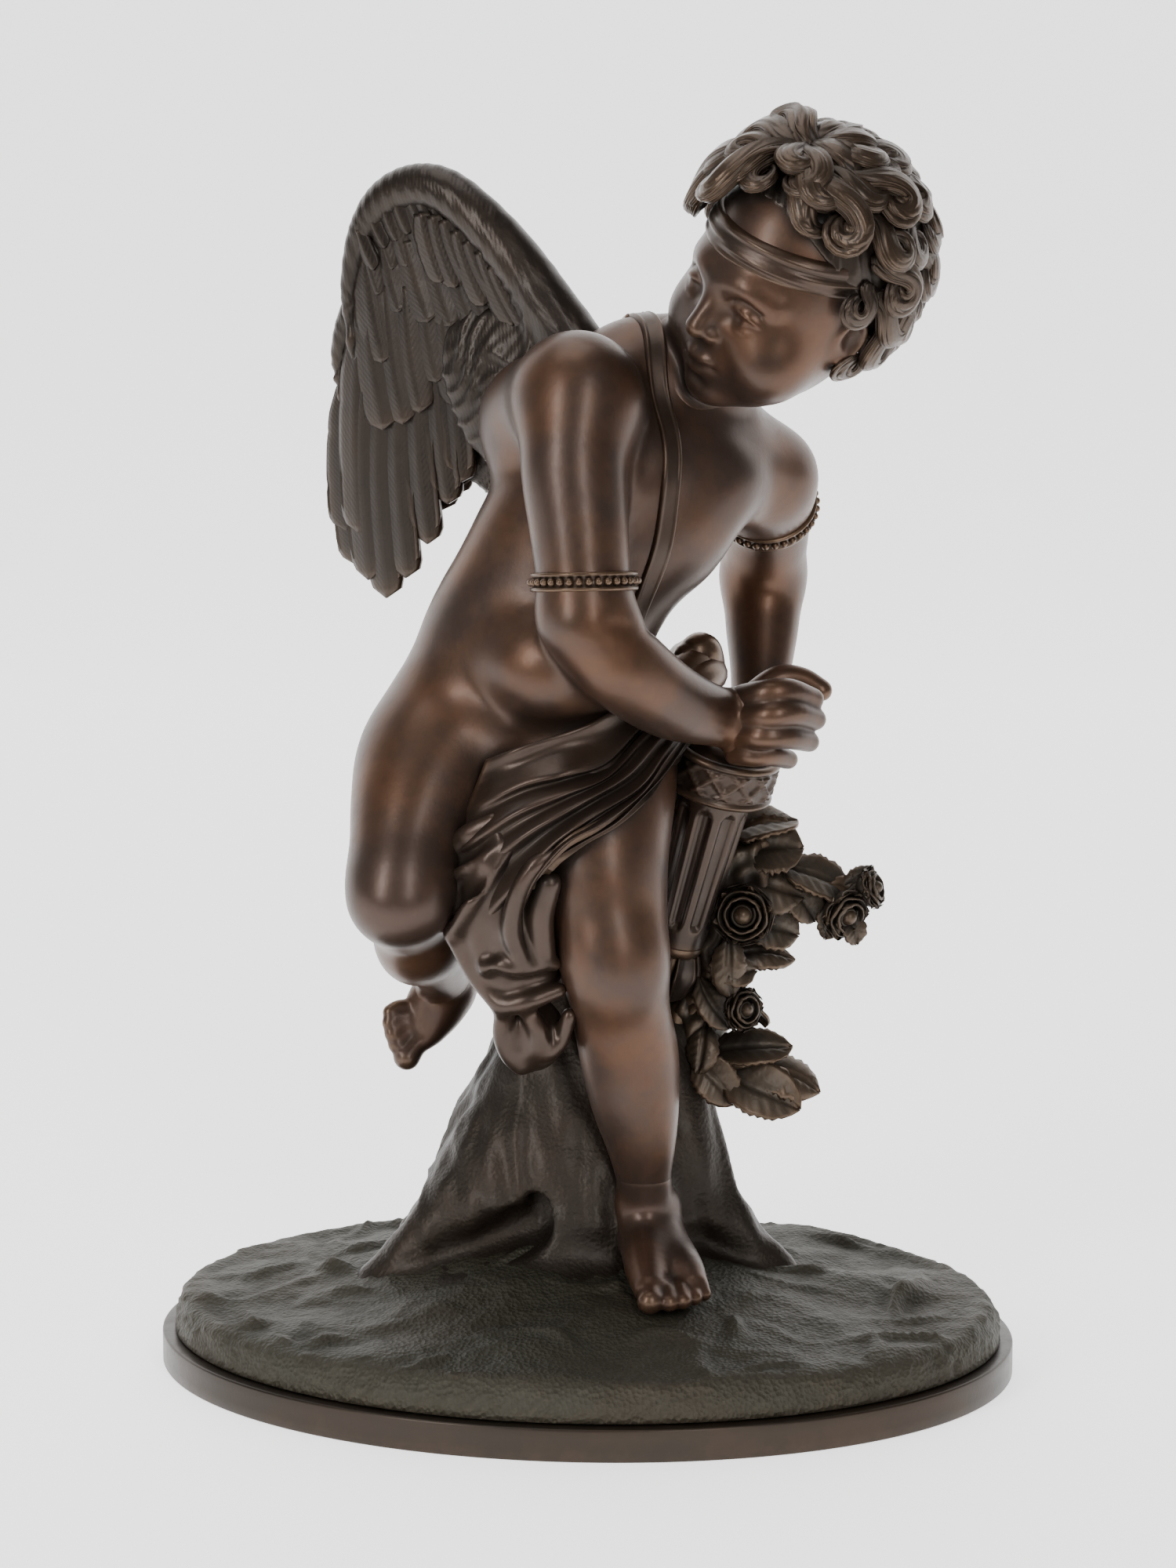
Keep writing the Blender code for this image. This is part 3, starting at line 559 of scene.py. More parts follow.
@dataclass
class Patina:
    """Works out where the bronze is rubbed, and where it is darkened by painted shade in hollows and between
    crowded parts, mixed with grime, once every piece is made.
    """

    step: float = 1.6
    noted: list[tuple] = field(default_factory=list)
    shared: ClassVar["Optional[Patina]"] = None

    @classmethod
    def note(cls, made: bpy.types.Object, points: Array, normals: Array, links: Array) -> None:
        """Keeps what one piece adds.

        Args:
            made: Its object.
            points: Its points, in mm.
            normals: The way out at each point.
            links: Pairs of neighbouring points.
        """
        if cls.shared is None:
            cls.shared = cls()
        cls.shared.noted.append((made, points, normals, links))

    @classmethod
    def settle(cls) -> None:
        """Writes the wear attribute and the darkening attribute, which is painted shade mixed with grime, for
        every piece.
        """
        self = cls.shared
        low = np.array((-170.0, -130.0, -20.0))
        size = np.ceil((np.array((170.0, 130.0, 450.0)) - low) / self.step).astype(int)
        crowd = np.zeros(size.prod())
        spans = []
        for _, points, _, links in self.noted:
            span = np.linalg.norm(points[links[:, 0]] - points[links[:, 1]], axis=1)
            spans.append(span.mean())
            area = np.bincount(links[:, 0], weights=span, minlength=len(points))
            area = (area / np.maximum(np.bincount(links[:, 0], minlength=len(points)), 1)) ** 2
            at = np.clip(((points - low) / self.step).astype(int), 0, size - 1)
            crowd += np.bincount(np.ravel_multi_index(at.T, size), weights=np.minimum(area, 9),
                                 minlength=len(crowd))
        crowd = crowd.reshape(size)
        for _ in range(2):
            for axis in range(3):
                total = np.cumsum(np.pad(crowd, [(3, 2) if i == axis else (0, 0) for i in range(3)]),
                                  axis=axis)
                cut = total.shape[axis]
                crowd = (np.take(total, range(5, cut), axis) - np.take(total, range(0, cut - 5), axis)) / 5
        for (made, points, normals, links), span in zip(self.noted, spans):
            # Painted shade: how much surface crowds the space 5 mm off each point stands in for the shade
            # that neighbouring parts cast.
            at = ((points + normals * 5.0 - low) / self.step).astype(int)
            at = np.clip(at, 0, np.array(crowd.shape) - 1)
            shade = crowd[tuple(at.T)] / self.step ** 2
            smooth = points.copy()
            for _ in range(int(np.clip(6 / span ** 2, 2, 30))):
                smooth += 0.5 * (neighbour_mean(smooth, links) - smooth)
            bulge = ((points - smooth) * normals).sum(1) * self.away_from_seams(points)
            # The darkening sums that painted shade and painted shade in hollows, which also stands for grime
            # there; the rubbed share is lighter wear on bulges.
            shade_and_grime = np.clip((shade - 0.24) * 1.4, 0, 0.7) + np.clip(-bulge * 2.2, 0, 0.6)
            worn = np.clip(bulge * 2.0 - 0.25, 0, 1) * np.clip(1.1 - shade_and_grime, 0, 1)
            for _ in range(3):
                shade_and_grime, worn = neighbour_mean(shade_and_grime, links), neighbour_mean(worn, links)
            for name, values in (("shade_and_grime", np.clip(shade_and_grime, 0, 1)), ("worn", np.clip(worn, 0, 1))):
                layer = made.data.attributes.new(name, "FLOAT", "POINT")
                layer.data.foreach_set("value", values.astype(np.float32))

    def away_from_seams(self, points: Array) -> Array:
        """From 0 next to a seam between pieces of skin to 1 a few mm off it.

        Args:
            points: Places, in rows of x, y and z.

        Returns:
            One share for each point.
        """
        share = np.ones(len(points))
        for seam in Seam:
            place, way, reach = seam.value
            offset = points - np.asarray(place)
            near = np.clip(np.abs(offset @ unit(way)) / 4 - 0.4, 0, 1)
            share = np.where(np.linalg.norm(offset, axis=1) < reach, np.minimum(share, near), share)
        return share


class Signal:
    """A value in a material's graph that takes Python's operators."""

    def __init__(self, graph: "Graph", socket: bpy.types.NodeSocket) -> None:
        """Wraps a socket of the graph."""
        self.graph = graph
        self.socket = socket

    def _with(self, operation: str, first: Any, second: Any) -> "Signal":
        """A Math node on two values.

        Args:
            operation: What the node does.
            first: A value or number.
            second: A value or number.

        Returns:
            The node's result.
        """
        values = [v.socket if isinstance(v, Signal) else v for v in (first, second)]
        node = self.graph.node("ShaderNodeMath", {"operation": operation}, dict(enumerate(values)))
        return Signal(self.graph, node.outputs[0])

    def __add__(self, other: Any) -> "Signal":
        """Sum."""
        return self._with("ADD", self, other)

    def __radd__(self, other: Any) -> "Signal":
        """Sum, reflected."""
        return self._with("ADD", other, self)

    def __sub__(self, other: Any) -> "Signal":
        """Difference."""
        return self._with("SUBTRACT", self, other)

    def __rsub__(self, other: Any) -> "Signal":
        """Difference, reflected."""
        return self._with("SUBTRACT", other, self)

    def __mul__(self, other: Any) -> "Signal":
        """Product."""
        return self._with("MULTIPLY", self, other)

    def __rmul__(self, other: Any) -> "Signal":
        """Product, reflected."""
        return self._with("MULTIPLY", other, self)

    def wave(self) -> "Signal":
        """Sine of the value."""
        return self._with("SINE", self, 0.0)

    def size(self) -> "Signal":
        """The value without its sign."""
        return self._with("ABSOLUTE", self, 0.0)

    def held(self, low: float = 0.0, high: float = 1.0) -> "Signal":
        """The value kept between two limits."""
        return self._with("MINIMUM", self._with("MAXIMUM", self, low), high)


class Graph:
    """A material's nodes, made one call at a time."""

    def __init__(self, name: str) -> None:
        """Starts a material that holds only its output and shader.

        Args:
            name: Its name.
        """
        self.material = bpy.data.materials.new(name)
        self.material.use_nodes = True
        self.tree = self.material.node_tree
        self.shader = self.tree.nodes["Principled BSDF"]
        self.coords = self.node("ShaderNodeTexCoord").outputs["Object"]

    def node(self, kind: str, settings: Optional[dict] = None,
             inputs: Optional[dict] = None) -> bpy.types.Node:
        """Adds a node.

        Args:
            kind: Its type.
            settings: Properties that are set before its sockets.
            inputs: Values or sockets, by input name or number.

        Returns:
            The node.
        """
        made = self.tree.nodes.new(kind)
        for name, value in (settings or {}).items():
            setattr(made, name, value)
        for name, value in (inputs or {}).items():
            if isinstance(value, Signal):
                value = value.socket
            if isinstance(value, bpy.types.NodeSocket):
                self.tree.links.new(value, made.inputs[name])
            else:
                made.inputs[name].default_value = value
        return made

    def noise(self, scale: float, detail: float, rough: float = 0.55) -> Signal:
        """Cloudy noise on the piece's own coordinates.

        Args:
            scale: Crests to the metre.
            detail: How many finer layers it has.
            rough: How strong the finer layers are.

        Returns:
            A value from 0 to 1.
        """
        settings = {"Vector": self.coords, "Scale": scale, "Detail": detail, "Roughness": rough}
        return Signal(self, self.node("ShaderNodeTexNoise", None, settings).outputs[0])

    def layer(self, name: str) -> Signal:
        """A value kept on the mesh's points."""
        return Signal(self, self.node("ShaderNodeAttribute", {"attribute_name": name}).outputs[2])

    def mix(self, share: Signal, first: Any, second: Any) -> bpy.types.NodeSocket:
        """Blends two colours by a share from 0 to 1."""
        made = self.node("ShaderNodeMix", {"data_type": "RGBA"}, {0: share, 6: first, 7: second})
        return made.outputs[2]


def rgba(colour: Station) -> tuple[float, float, float, float]:
    """The colour with full alpha."""
    return (colour[0], colour[1], colour[2], 1.0)


@dataclass(frozen=True)
class Bronze:
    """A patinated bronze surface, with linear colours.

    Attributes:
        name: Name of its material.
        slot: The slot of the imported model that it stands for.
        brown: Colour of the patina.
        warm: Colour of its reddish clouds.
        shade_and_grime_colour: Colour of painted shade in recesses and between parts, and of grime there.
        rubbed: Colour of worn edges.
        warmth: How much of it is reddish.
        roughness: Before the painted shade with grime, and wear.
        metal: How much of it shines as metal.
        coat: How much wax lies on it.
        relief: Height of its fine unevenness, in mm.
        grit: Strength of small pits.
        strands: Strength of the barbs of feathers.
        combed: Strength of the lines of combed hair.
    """

    name: str
    slot: str = "bronze"
    brown: Station = (0.062, 0.038, 0.028)
    warm: Station = (0.110, 0.052, 0.027)
    shade_and_grime_colour: Station = (0.020, 0.015, 0.011)
    rubbed: Station = (0.18, 0.105, 0.058)
    warmth: float = 0.35
    roughness: float = 0.36
    metal: float = 0.7
    coat: float = 0.15
    relief: float = 0.05
    grit: float = 0.0
    strands: float = 0.0
    combed: float = 0.0

    def material(self) -> bpy.types.Material:
        """The material, made on first use."""
        return bpy.data.materials.get(self.name) or self._make()

    def _make(self) -> bpy.types.Material:
        """Builds the nodes.

        Returns:
            The finished material.
        """
        g = Graph(self.name)
        cloud = g.noise(26, 4)
        mottle = g.noise(150, 5, 0.62)
        speck = g.noise(900, 3, 0.6)
        shade_and_grime, worn = g.layer("shade_and_grime"), g.layer("worn")
        warm = ((cloud - 0.42) * 3.2 * self.warmth * 2 + (mottle - 0.5) * 0.9).held() * (1 - shade_and_grime)
        colour = g.mix(warm, rgba(self.brown), rgba(self.warm))
        # Painted shade: the darkening attribute and some mottle blend in a dark colour, which stands for
        # shade in hollows and between parts and for grime.
        shade_and_grime_mix = (shade_and_grime * 1.15 + (mottle - 0.5) * 0.7 - 0.05).held()
        colour = g.mix(shade_and_grime_mix, colour, rgba(self.shade_and_grime_colour))
        rub = (worn * 0.8 + (speck - 0.5) * 0.5 * worn + (mottle - 0.68) * 0.3).held(0, 0.8)
        colour = g.mix(rub, colour, rgba(self.rubbed))
        rough = self.roughness + (mottle - 0.5) * 0.16 + shade_and_grime_mix * 0.26 - rub * 0.07 + (speck - 0.5) * 0.08
        rough = rough.held(0.12, 0.9)
        height = (mottle - 0.5) * 0.6 + (speck - 0.5) * 0.5
        if self.grit:
            pits = g.node("ShaderNodeTexVoronoi", None, {"Vector": g.coords, "Scale": 640.0}).outputs[0]
            height = height + Signal(g, pits) * self.grit
        if self.combed:
            _, across = self._grain(g)
            height = height + ((across * 7.0 + mottle * 3).wave()
                               + (across * 3.1 + cloud * 5).wave()) * self.combed
        if self.strands:
            along, across = self._grain(g)
            barbs = ((along * 2.6 + across.size() * 3.4 + (mottle - 0.5) * 3).wave()
                     + (across * 5.5 + (mottle - 0.5) * 2).wave() * 0.4)
            height = height + barbs * self.strands
        settings = {"Strength": 1.0, "Distance": self.relief * MM * 2, "Height": height}
        bump = g.node("ShaderNodeBump", None, settings)
        shader = g.shader.inputs
        g.tree.links.new(colour, shader["Base Color"])
        g.tree.links.new(rough.socket, shader["Roughness"])
        g.tree.links.new(bump.outputs[0], shader["Normal"])
        shader["Metallic"].default_value = self.metal
        shader["Coat Weight"].default_value = self.coat
        shader["Coat Roughness"].default_value = 0.25
        return g.material

    def _grain(self, g: Graph) -> tuple[Signal, Signal]:
        """Distance along and across the piece, in mm.

        Args:
            g: The graph it is read in.

        Returns:
            Both distances.
        """
        made = g.node("ShaderNodeAttribute", {"attribute_name": "grain"})
        parts = g.node("ShaderNodeSeparateXYZ", None, {"Vector": made.outputs[1]})
        return Signal(g, parts.outputs[0]), Signal(g, parts.outputs[1])


SKIN = Bronze("bronze_skin", warmth=0.55, roughness=0.40, relief=0.035)
HAIR = Bronze("bronze_hair", brown=(0.040, 0.028, 0.021), warm=(0.058, 0.036, 0.024),
              rubbed=(0.12, 0.075, 0.045),
              warmth=0.25, roughness=0.34, relief=0.05, combed=0.9)
CLOTH = Bronze("bronze_cloth", brown=(0.052, 0.034, 0.025), warm=(0.080, 0.044, 0.027), warmth=0.25,
               roughness=0.36, relief=0.04)
FEATHER = Bronze("bronze_feathers", brown=(0.028, 0.020, 0.015), warm=(0.046, 0.028, 0.018),
                 rubbed=(0.09, 0.058, 0.036),
                 warmth=0.3, roughness=0.38, relief=0.05, strands=0.14)
TRIM = Bronze("bronze_trim", brown=(0.044, 0.030, 0.023), warm=(0.068, 0.041, 0.028), warmth=0.3,
              roughness=0.36, relief=0.04)
BARK = Bronze("bronze_bark", brown=(0.029, 0.022, 0.016), warm=(0.044, 0.028, 0.019),
              rubbed=(0.08, 0.053, 0.035),
              warmth=0.3, roughness=0.46, relief=0.14, grit=0.5, coat=0.05)
EARTH = Bronze("bronze_earth", brown=(0.034, 0.031, 0.020), warm=(0.042, 0.030, 0.018),
               shade_and_grime_colour=(0.016, 0.015, 0.010),
               rubbed=(0.075, 0.060, 0.040), warmth=0.3, roughness=0.58, metal=0.45, relief=0.2, grit=1.1,
               coat=0.0)
LEAFY = Bronze("bronze_leaves", brown=(0.060, 0.047, 0.034), warm=(0.078, 0.052, 0.034), warmth=0.25,
               roughness=0.43,
               relief=0.06, coat=0.12)
RIM = Bronze("bronze_plinth", slot="plinth_bronze", brown=(0.030, 0.022, 0.016), warm=(0.044, 0.028, 0.018),
             rubbed=(0.12, 0.08, 0.05), warmth=0.45, roughness=0.38, relief=0.03, coat=0.05)


@dataclass
class Figure:
    """The body of the cupid: trunk, limbs, hands and feet."""

    skin_step: float = 1.56
    fine_step: float = 0.68
    trunk: Sequence[Station] = (
        (-26, 6, 212, 41), (-20, 3, 240, 38.5), (-10, 0, 262, 37), (2, -2, 284, 37.5), (16, -1, 302, 37),
        (22, 5, 318, 30), (33, 9, 331, 22))
    upper_right: Sequence[Station] = (
        (-1, -32, 335, 18), (-4, -42, 315, 18), (-2, -48, 290, 16.6), (0, -52, 264, 15))
    fore_right: Sequence[Station] = (
        (0, -52, 262, 14.8), (12, -50, 246, 15), (28, -38, 232, 13.2), (44, -24, 224, 10.4),
        (52, -20, 222, 10))
    upper_left: Sequence[Station] = ((62, 27, 299, 16.5), (64, 44, 284, 15.4), (63.5, 64, 260, 14.4))
    fore_left: Sequence[Station] = (
        (63.5, 64, 260, 14), (63, 56, 245, 13.4), (62, 44, 228, 10.8), (60, 34, 216, 9.4),
        (56, 24, 208, 9.5))
    left_leg: Sequence[Station] = (
        (2, 2, 215, 31), (4, -18, 196, 27), (5, -30, 178, 23.5), (7, -34, 160, 21), (10, -36, 141, 18.6),
        (12, -33, 124, 17), (15, -27, 105, 17), (17, -25, 90, 15.5), (19, -24, 76, 12.6), (20, -22, 63, 10),
        (21, -19, 50, 9.2))
    right_thigh: Sequence[Station] = (
        (-38, 4, 214, 33), (-50, -8, 205, 29), (-56, -20, 195, 24.5), (-60, -31, 183, 20.5),
        (-62, -39, 173, 18), (-63, -43, 166, 16))
    right_shin: Sequence[Station] = (
        (-63, -40, 165, 15), (-60, -22, 153, 14.6), (-56, 0, 139, 13.2), (-53, 20, 128, 11),
        (-50, 36, 118, 8.8))

    def sculpt(self, clay: Clay) -> None:
        """Works the figure up to the neck into a block, as far as the block reaches.

        Args:
            clay: The block that is worked.
        """
        self.body(clay)
        self.arms(clay)
        self.legs(clay)
        self.feet(clay)
        self.hands(clay)

    def body(self, clay: Clay) -> None:
        """Trunk with its soft masses and creases.

        Args:
            clay: The block that is worked.
        """
        clay.chain(self.trunk, 3, squash=(1, 0.86, 1))
        clay.chain(((28, 9, 323, 21), (42, 3, 340, 18), (60, -12, 360, 18)), 10)
        clay.ball((-8, -24, 243), (27, 21, 22), 8)
        clay.ball((14, -22, 309), (18, 14, 15), 12)
        clay.ball((43, -8, 302), (15, 13, 15), 12)
        clay.ball((26, -6, 286), (19, 19, 18), 14)
        clay.ball((-40, 18, 207), (26, 26, 25), 12)
        clay.ball((-5, 28, 208), (24, 24, 25), 12)
        clay.ball((-12, 9, 322), 21, 14)
        clay.ball((38, 31, 308), 18, 14)
        clay.chain(((-17, 4, 322, 17), (-13, -12, 330, 17), (-7, -27, 334, 18)), 14)
        clay.ball((52, 8, 304), (15, 14, 15), 12)
        clay.ball((18, 2, 337), (21, 18, 20), 14)
        clay.chain(((34, 14, 320, 20), (50, 22, 308, 17.5), (61, 26, 300, 16)), 12)
        clay.chain(((10, 34, 330, 2.5), (2, 36, 290, 3), (-14, 42, 240, 2.5)), 9, cut=True)
        clay.chain(((-18, 50, 222, 1.5), (-20, 52, 200, 2.5), (-20, 46, 186, 3)), 5, cut=True)
        clay.ball((-9, -46, 247), (2.6, 4.0, 2.0), 3, cut=True)

    def arms(self, clay: Clay) -> None:
        """Both arms with shoulders, elbows and wrists.

        Args:
            clay: The block that is worked.
        """
        clay.ball((-2, -33, 333), (19, 19, 21), 10)
        clay.chain(self.upper_right, 8)
        clay.chain(self.fore_right, 9)
        clay.chain(((8, -66, 262, 0.4), (16, -57, 258, 0.5), (20, -46, 257, 0.4)), 4, cut=True)
        clay.chain(self.upper_left, 14)
        clay.chain(self.fore_left, 7)

    def legs(self, clay: Clay) -> None:
        """Both legs with knees and calves.

        Args:
            clay: The block that is worked.
        """
        clay.chain(self.left_leg, 9)
        clay.ball((10, -45, 142), (12, 8, 13), 14)
        clay.ball((16, -16, 108), (13, 12, 20), 9)
        clay.chain(self.right_thigh, 6.5)
        clay.chain(self.right_shin, 13)
        clay.ball((-60, -8, 140), (10, 15, 11), 12)

    def feet(self, clay: Clay) -> None:
        """The standing left foot and the hanging right foot, each with five toes.

        Args:
            clay: The block that is worked.
        """
        clay.chain(((21, -14, 48, 9.6), (21, -21, 41, 9.4), (21, -38, 34.5, 8.0), (22, -52, 30, 6.0)), 6)
        clay.chain(((22, -6, 36, 8.6), (21, -20, 38, 9)), 6)
        clay.chain(((26, -14, 37, 8.4), (33, -36, 33, 7.4), (37, -47, 29.5, 5.2)), 6)
        clay.ball((14, -17, 50), (3.6, 4.5, 4.5), 7)
        clay.ball((28.5, -13, 48), (3.6, 4.5, 4.5), 7)
        clay.chain(((-45, 46, 118, 7.0), (-48, 44, 112, 8.4), (-52, 39, 106, 8.0), (-56, 35, 100, 6.2)), 5)
        clay.chain(((-50, 40, 116, 8.4), (-56, 37, 111, 7.2), (-60, 35.5, 108.5, 4.6)), 5)
        clay.chain(((-50, 40, 113, 8.4), (-55, 37, 107, 7.4), (-58.5, 35, 104, 5.2)), 5)
        for toe in self.toes():
            clay.chain(toe, 1.4, steps=3)

    def toes(self) -> list[list[Station]]:
        """Stations of the ten toes.

        Returns:
            Three stations for each toe.
        """
        ends = (
            (22, -50, 30, 22, -60, 27.6, 4.6), (27.6, -50, 29.5, 28.6, -59.5, 27, 3.3),
            (32, -49, 29.5, 33.2, -57.5, 27, 3.1), (35.6, -46.5, 29.2, 37.2, -54, 27, 2.9),
            (38.5, -43, 29, 40.6, -49.5, 27, 2.7), (-58, 33, 97, -64, 30, 91, 4.9),
            (-62, 32, 100, -67.5, 29.5, 95.6, 3.3), (-63, 32, 103, -69, 29.5, 99.6, 3.1),
            (-64, 32, 106, -70, 30, 103.4, 2.9), (-65, 33, 109, -70, 31, 107.2, 2.7))
        rows = []
        for x, y, z, u, v, w, r in ends:
            rows.append([(x, y, z, r * 0.9), ((x + u) / 2, (y + v) / 2, (z + w) / 2 + 0.9, r * 0.86),
                         (u, v, w, r)])
        return rows

    def hands(self, clay: Clay) -> None:
        """The right fist and the left hand on the quiver's rim.

        Args:
            clay: The block that is worked.
        """
        clay.ball((57, -18, 221), (11, 9, 13), 5)
        fingers = (
            ((54, -24, 230.5, 4.6), (61, -31, 233, 4.8), (69, -30, 233.5, 4.5), (77.5, -22, 229.5, 3.9)),
            ((54, -27, 224, 4.6), (62, -34, 226, 4.8), (70, -32, 226.5, 4.5), (78.5, -22, 222.5, 3.8)),
            ((53, -27, 217.5, 4.4), (60, -33, 218.5, 4.6), (68.5, -31, 218, 4.2), (76.5, -21, 214.5, 3.6)),
            ((51, -24, 211, 4.0), (57, -29, 211.5, 4.2), (63, -27, 211, 3.9), (69.5, -19, 208, 3.4)))
        for finger in fingers:
            clay.chain(finger, 1.2)
        clay.chain(((57, -12, 228, 5.2), (66, -8, 234, 4.8), (74, -8, 234, 4.4), (81, -10, 230.5, 3.9)), 1.6)
        clay.ball((53, 23, 207), (11, 8, 9), 5)
        for i in range(4):
            x, y = 41 + 6.4 * i, 13 + 1.2 * abs(i - 1.5)
            clay.chain(((x + 3, y + 12, 208, 4.4), (x, y + 2, 210.5, 4.2), (x - 1, y - 5, 205, 3.7)), 1.2)

    def make(self) -> Clay:
        """Makes the skin's pieces and returns the clay of the trunk, on which the strap is laid.

        Returns:
            The trunk's clay, up to the neck.
        """
        shown = Clay((-98, -76, 44), (90, 88, 380), self.skin_step)
        self.sculpt(shown)
        shown.ease(2)
        for seam, first, last in ((Seam.WRIST, (44, -50, 200), (90, 2, 245)),
                                  (Seam.ANKLE, (0, -70, 44), (50, 6, 70)),
                                  (Seam.HEEL, (-90, 20, 80), (-30, 70, 130))):
            self._trim_within(shown, seam, first, last)
        self._cast("body", shown)
        for name, seam, first, last in (("fist", Seam.WRIST, (40, -48, 196), (92, 4, 246)),
                                        ("left_foot", Seam.ANKLE, (4, -72, 18), (52, 6, 70)),
                                        ("right_foot", Seam.HEEL, (-84, 10, 80), (-34, 66, 138))):
            point, way, _ = seam.value
            part = Clay(first, last, self.fine_step)
            self.sculpt(part)
            part.ease(2)
            if seam is Seam.WRIST:
                part.trim((60, 0, 210), (0, 1, 0))
            part.trim(np.asarray(point) - unit(way) * LAP, -unit(way), SINK)
            self._cast(name, part)
        body = Clay((-60, -70, 200), (70, 60, 366), 1.4)
        self.body(body)
        body.ease(2)
        return body

    def _trim_within(self, clay: Clay, seam: Seam, low: Station, high: Station) -> None:
        """Cuts the clay a little past a seam, but only inside a box, and draws the rim in.

        Args:
            clay: The block that is worked.
            seam: Which seam.
            low: Lowest corner.
            high: Highest corner.
        """
        point, way, _ = seam.value
        box = clay.window(np.asarray(low, float), np.asarray(high, float))
        x, y, z = clay.places(*box)
        w, p = unit(way), np.asarray(point, float)
        plane = ((x - p[0]) * w[0] + (y - p[1]) * w[1] + (z - p[2]) * w[2] - LAP).astype(np.float32)
        spans = tuple(slice(a, b) for a, b in zip(*box))
        clay.field[spans] = np.maximum(clay.field[spans] + SINK * np.clip(1 + plane / LAP, 0, 1), plane)

    def _cast(self, name: str, clay: Clay) -> None:
        """Makes one piece of skin.

        Args:
            name: Its name.
            clay: Its worked block.
        """
        mould = Mould()
        mould.shell(*clay.skin())
        mould.piece(name, SKIN)


@dataclass
class Head:
    """The head: a calm, round child's face on plain proportions, with ears."""

    centre: Station = (70.5, -22.0, 374.0)
    forward: Station = (-0.789, -0.609, -0.08)
    over: Station = (0.192, -0.368, 0.91)
    skull_radii: Station = (32.0, 37.0, 38.0)
    step: float = 0.76

    def __post_init__(self) -> None:
        """Works out the head's own axes."""
        self.f = unit(self.forward)
        self.u = unit(np.asarray(self.over) - self.f * (np.asarray(self.over) @ self.f))
        self.l = np.cross(self.u, self.f)
        self.turn = np.stack([self.l, self.f, self.u])
        self.skull = np.asarray(self.centre) - 4 * self.f + 6 * self.u

    def at(self, left: float, ahead: float, up: float, *rest: float) -> tuple[float, ...]:
        """A place by the head's own axes, with a radius passed on."""
        place = np.asarray(self.centre) + left * self.l + ahead * self.f + up * self.u
        return (*place, *rest)

    def scalp(self, way: Array, lift: float | Array) -> Array:
        """Points over the scalp, from directions in the head's own axes."""
        reach = (np.asarray(self.skull_radii) + np.asarray(lift).reshape(-1, 1)) * way
        return self.skull + reach @ self.turn

    def sculpt(self, clay: Clay) -> None:
        """Works skull, face and ears into a block.

        Args:
            clay: The block that is worked.
        """
        at, t = self.at, self.turn
        clay.ball(self.skull, self.skull_radii, 10, turn=t)
        clay.ball(at(0, 7, -10), (29.5, 29, 33), 8, turn=t)
        clay.ball(at(0, 17, -35), (15, 13, 9), 8, turn=t)
        clay.ball(at(0, 27.5, -37), (8.5, 7.5, 6.8), 7, turn=t)
        for side in (-1, 1):
            clay.ball(at(16 * side, 19.5, -21), (14.5, 13.5, 14.5), 8, turn=t)
            clay.ball(at(12.4 * side, 39.4, -5.4), (7.4, 7.4, 5.0), 4, cut=True, turn=t)
        clay.chain((at(-19, 24.5, 2, 3.0), at(-10.5, 31.4, 5.2, 3.2), at(0, 33, 3, 2.8),
                    at(10.5, 31.4, 5.2, 3.2),
                    at(19, 24.5, 2, 3.0)), 5)
        self.eyes(clay)
        clay.chain((at(0, 32.5, 2, 2.8), at(0, 35.4, -5, 3.0), at(0, 38.8, -13.6, 4.2)), 4)
        for side in (-1, 1):
            clay.ball(at(4.3 * side, 35.4, -15.6), (2.8, 3.2, 2.6), 2.2, turn=t)
            clay.ball(at(2.0 * side, 38.4, -18.0), (1.1, 1.2, 1.3), 0.9, cut=True, turn=t)
        self.mouth(clay)
        self.ears(clay)

    def eyes(self, clay: Clay) -> None:
        """Eyeballs between soft lids, with a shallow dent for the pupil.

        Args:
            clay: The block that is worked.
        """
        at = self.at
        for side in (-1, 1):
            ball, lids = at(12.4 * side, 25.6, -6.4), []
            clay.ball(ball, 7.4, 0.6)
            for rise in (3.5, -3.0):
                row = []
                for across in (-7.0, -3.9, 0.0, 3.9, 7.0):
                    high = -0.4 + (rise + 0.4) * math.sqrt(1 - (across / 7.5) ** 2)
                    way = unit((side * across, math.sqrt(62 - across ** 2 - high ** 2), high))
                    row.append((*(np.asarray(ball) + 7.6 * (way @ self.turn)), 1.25 if rise > 0 else 1.0))
                lids.append(row)
            for row in lids:
                clay.chain(row, 0.4)
            fold = [at(side * x, y, z, 0.55) for x, y, z in
                    ((6.0, 32.6, -1.6), (9.6, 33.6, 0.4), (13.4, 32.6, 1.0), (18.4, 29.0, -1.6))]
            clay.chain(fold, 1.6, cut=True)
            clay.ball(np.asarray(ball) + 7.9 * self.f + 0.4 * self.u, 1.3, 1.2, cut=True)

    def mouth(self, clay: Clay) -> None:
        """Closed, full lips with a soft hollow above and below.

        Args:
            clay: The block that is worked.
        """
        at, t = self.at, self.turn
        clay.ball(at(0, 26.5, -26.5), (12, 9.5, 8.5), 6, turn=t)
        clay.chain((at(0, 37.6, -20.0, 0.6), at(0, 37.0, -22.6, 0.8)), 1.8, cut=True)
        clay.chain((at(-8.4, 31.6, -26.6, 0.9), at(-4.0, 35.2, -24.9, 1.9), at(0, 35.9, -25.3, 1.8),
                    at(4.0, 35.2, -24.9, 1.9), at(8.4, 31.6, -26.6, 0.9)), 1.4)
        clay.chain((at(-6.2, 32.8, -28.9, 1.1), at(0, 34.9, -30.0, 2.4), at(6.2, 32.8, -28.9, 1.1)), 1.6)
        clay.chain((at(-9.2, 32.8, -26.7, 0.5), at(-4.4, 36.8, -27.0, 0.6), at(0, 37.5, -27.5, 0.6),
                    at(4.4, 36.8, -27.0, 0.6), at(9.2, 32.8, -26.7, 0.5)), 0.9, cut=True)
        clay.ball(at(0, 37.0, -33.6), (5.5, 3.2, 1.5), 3.0, cut=True, turn=t)

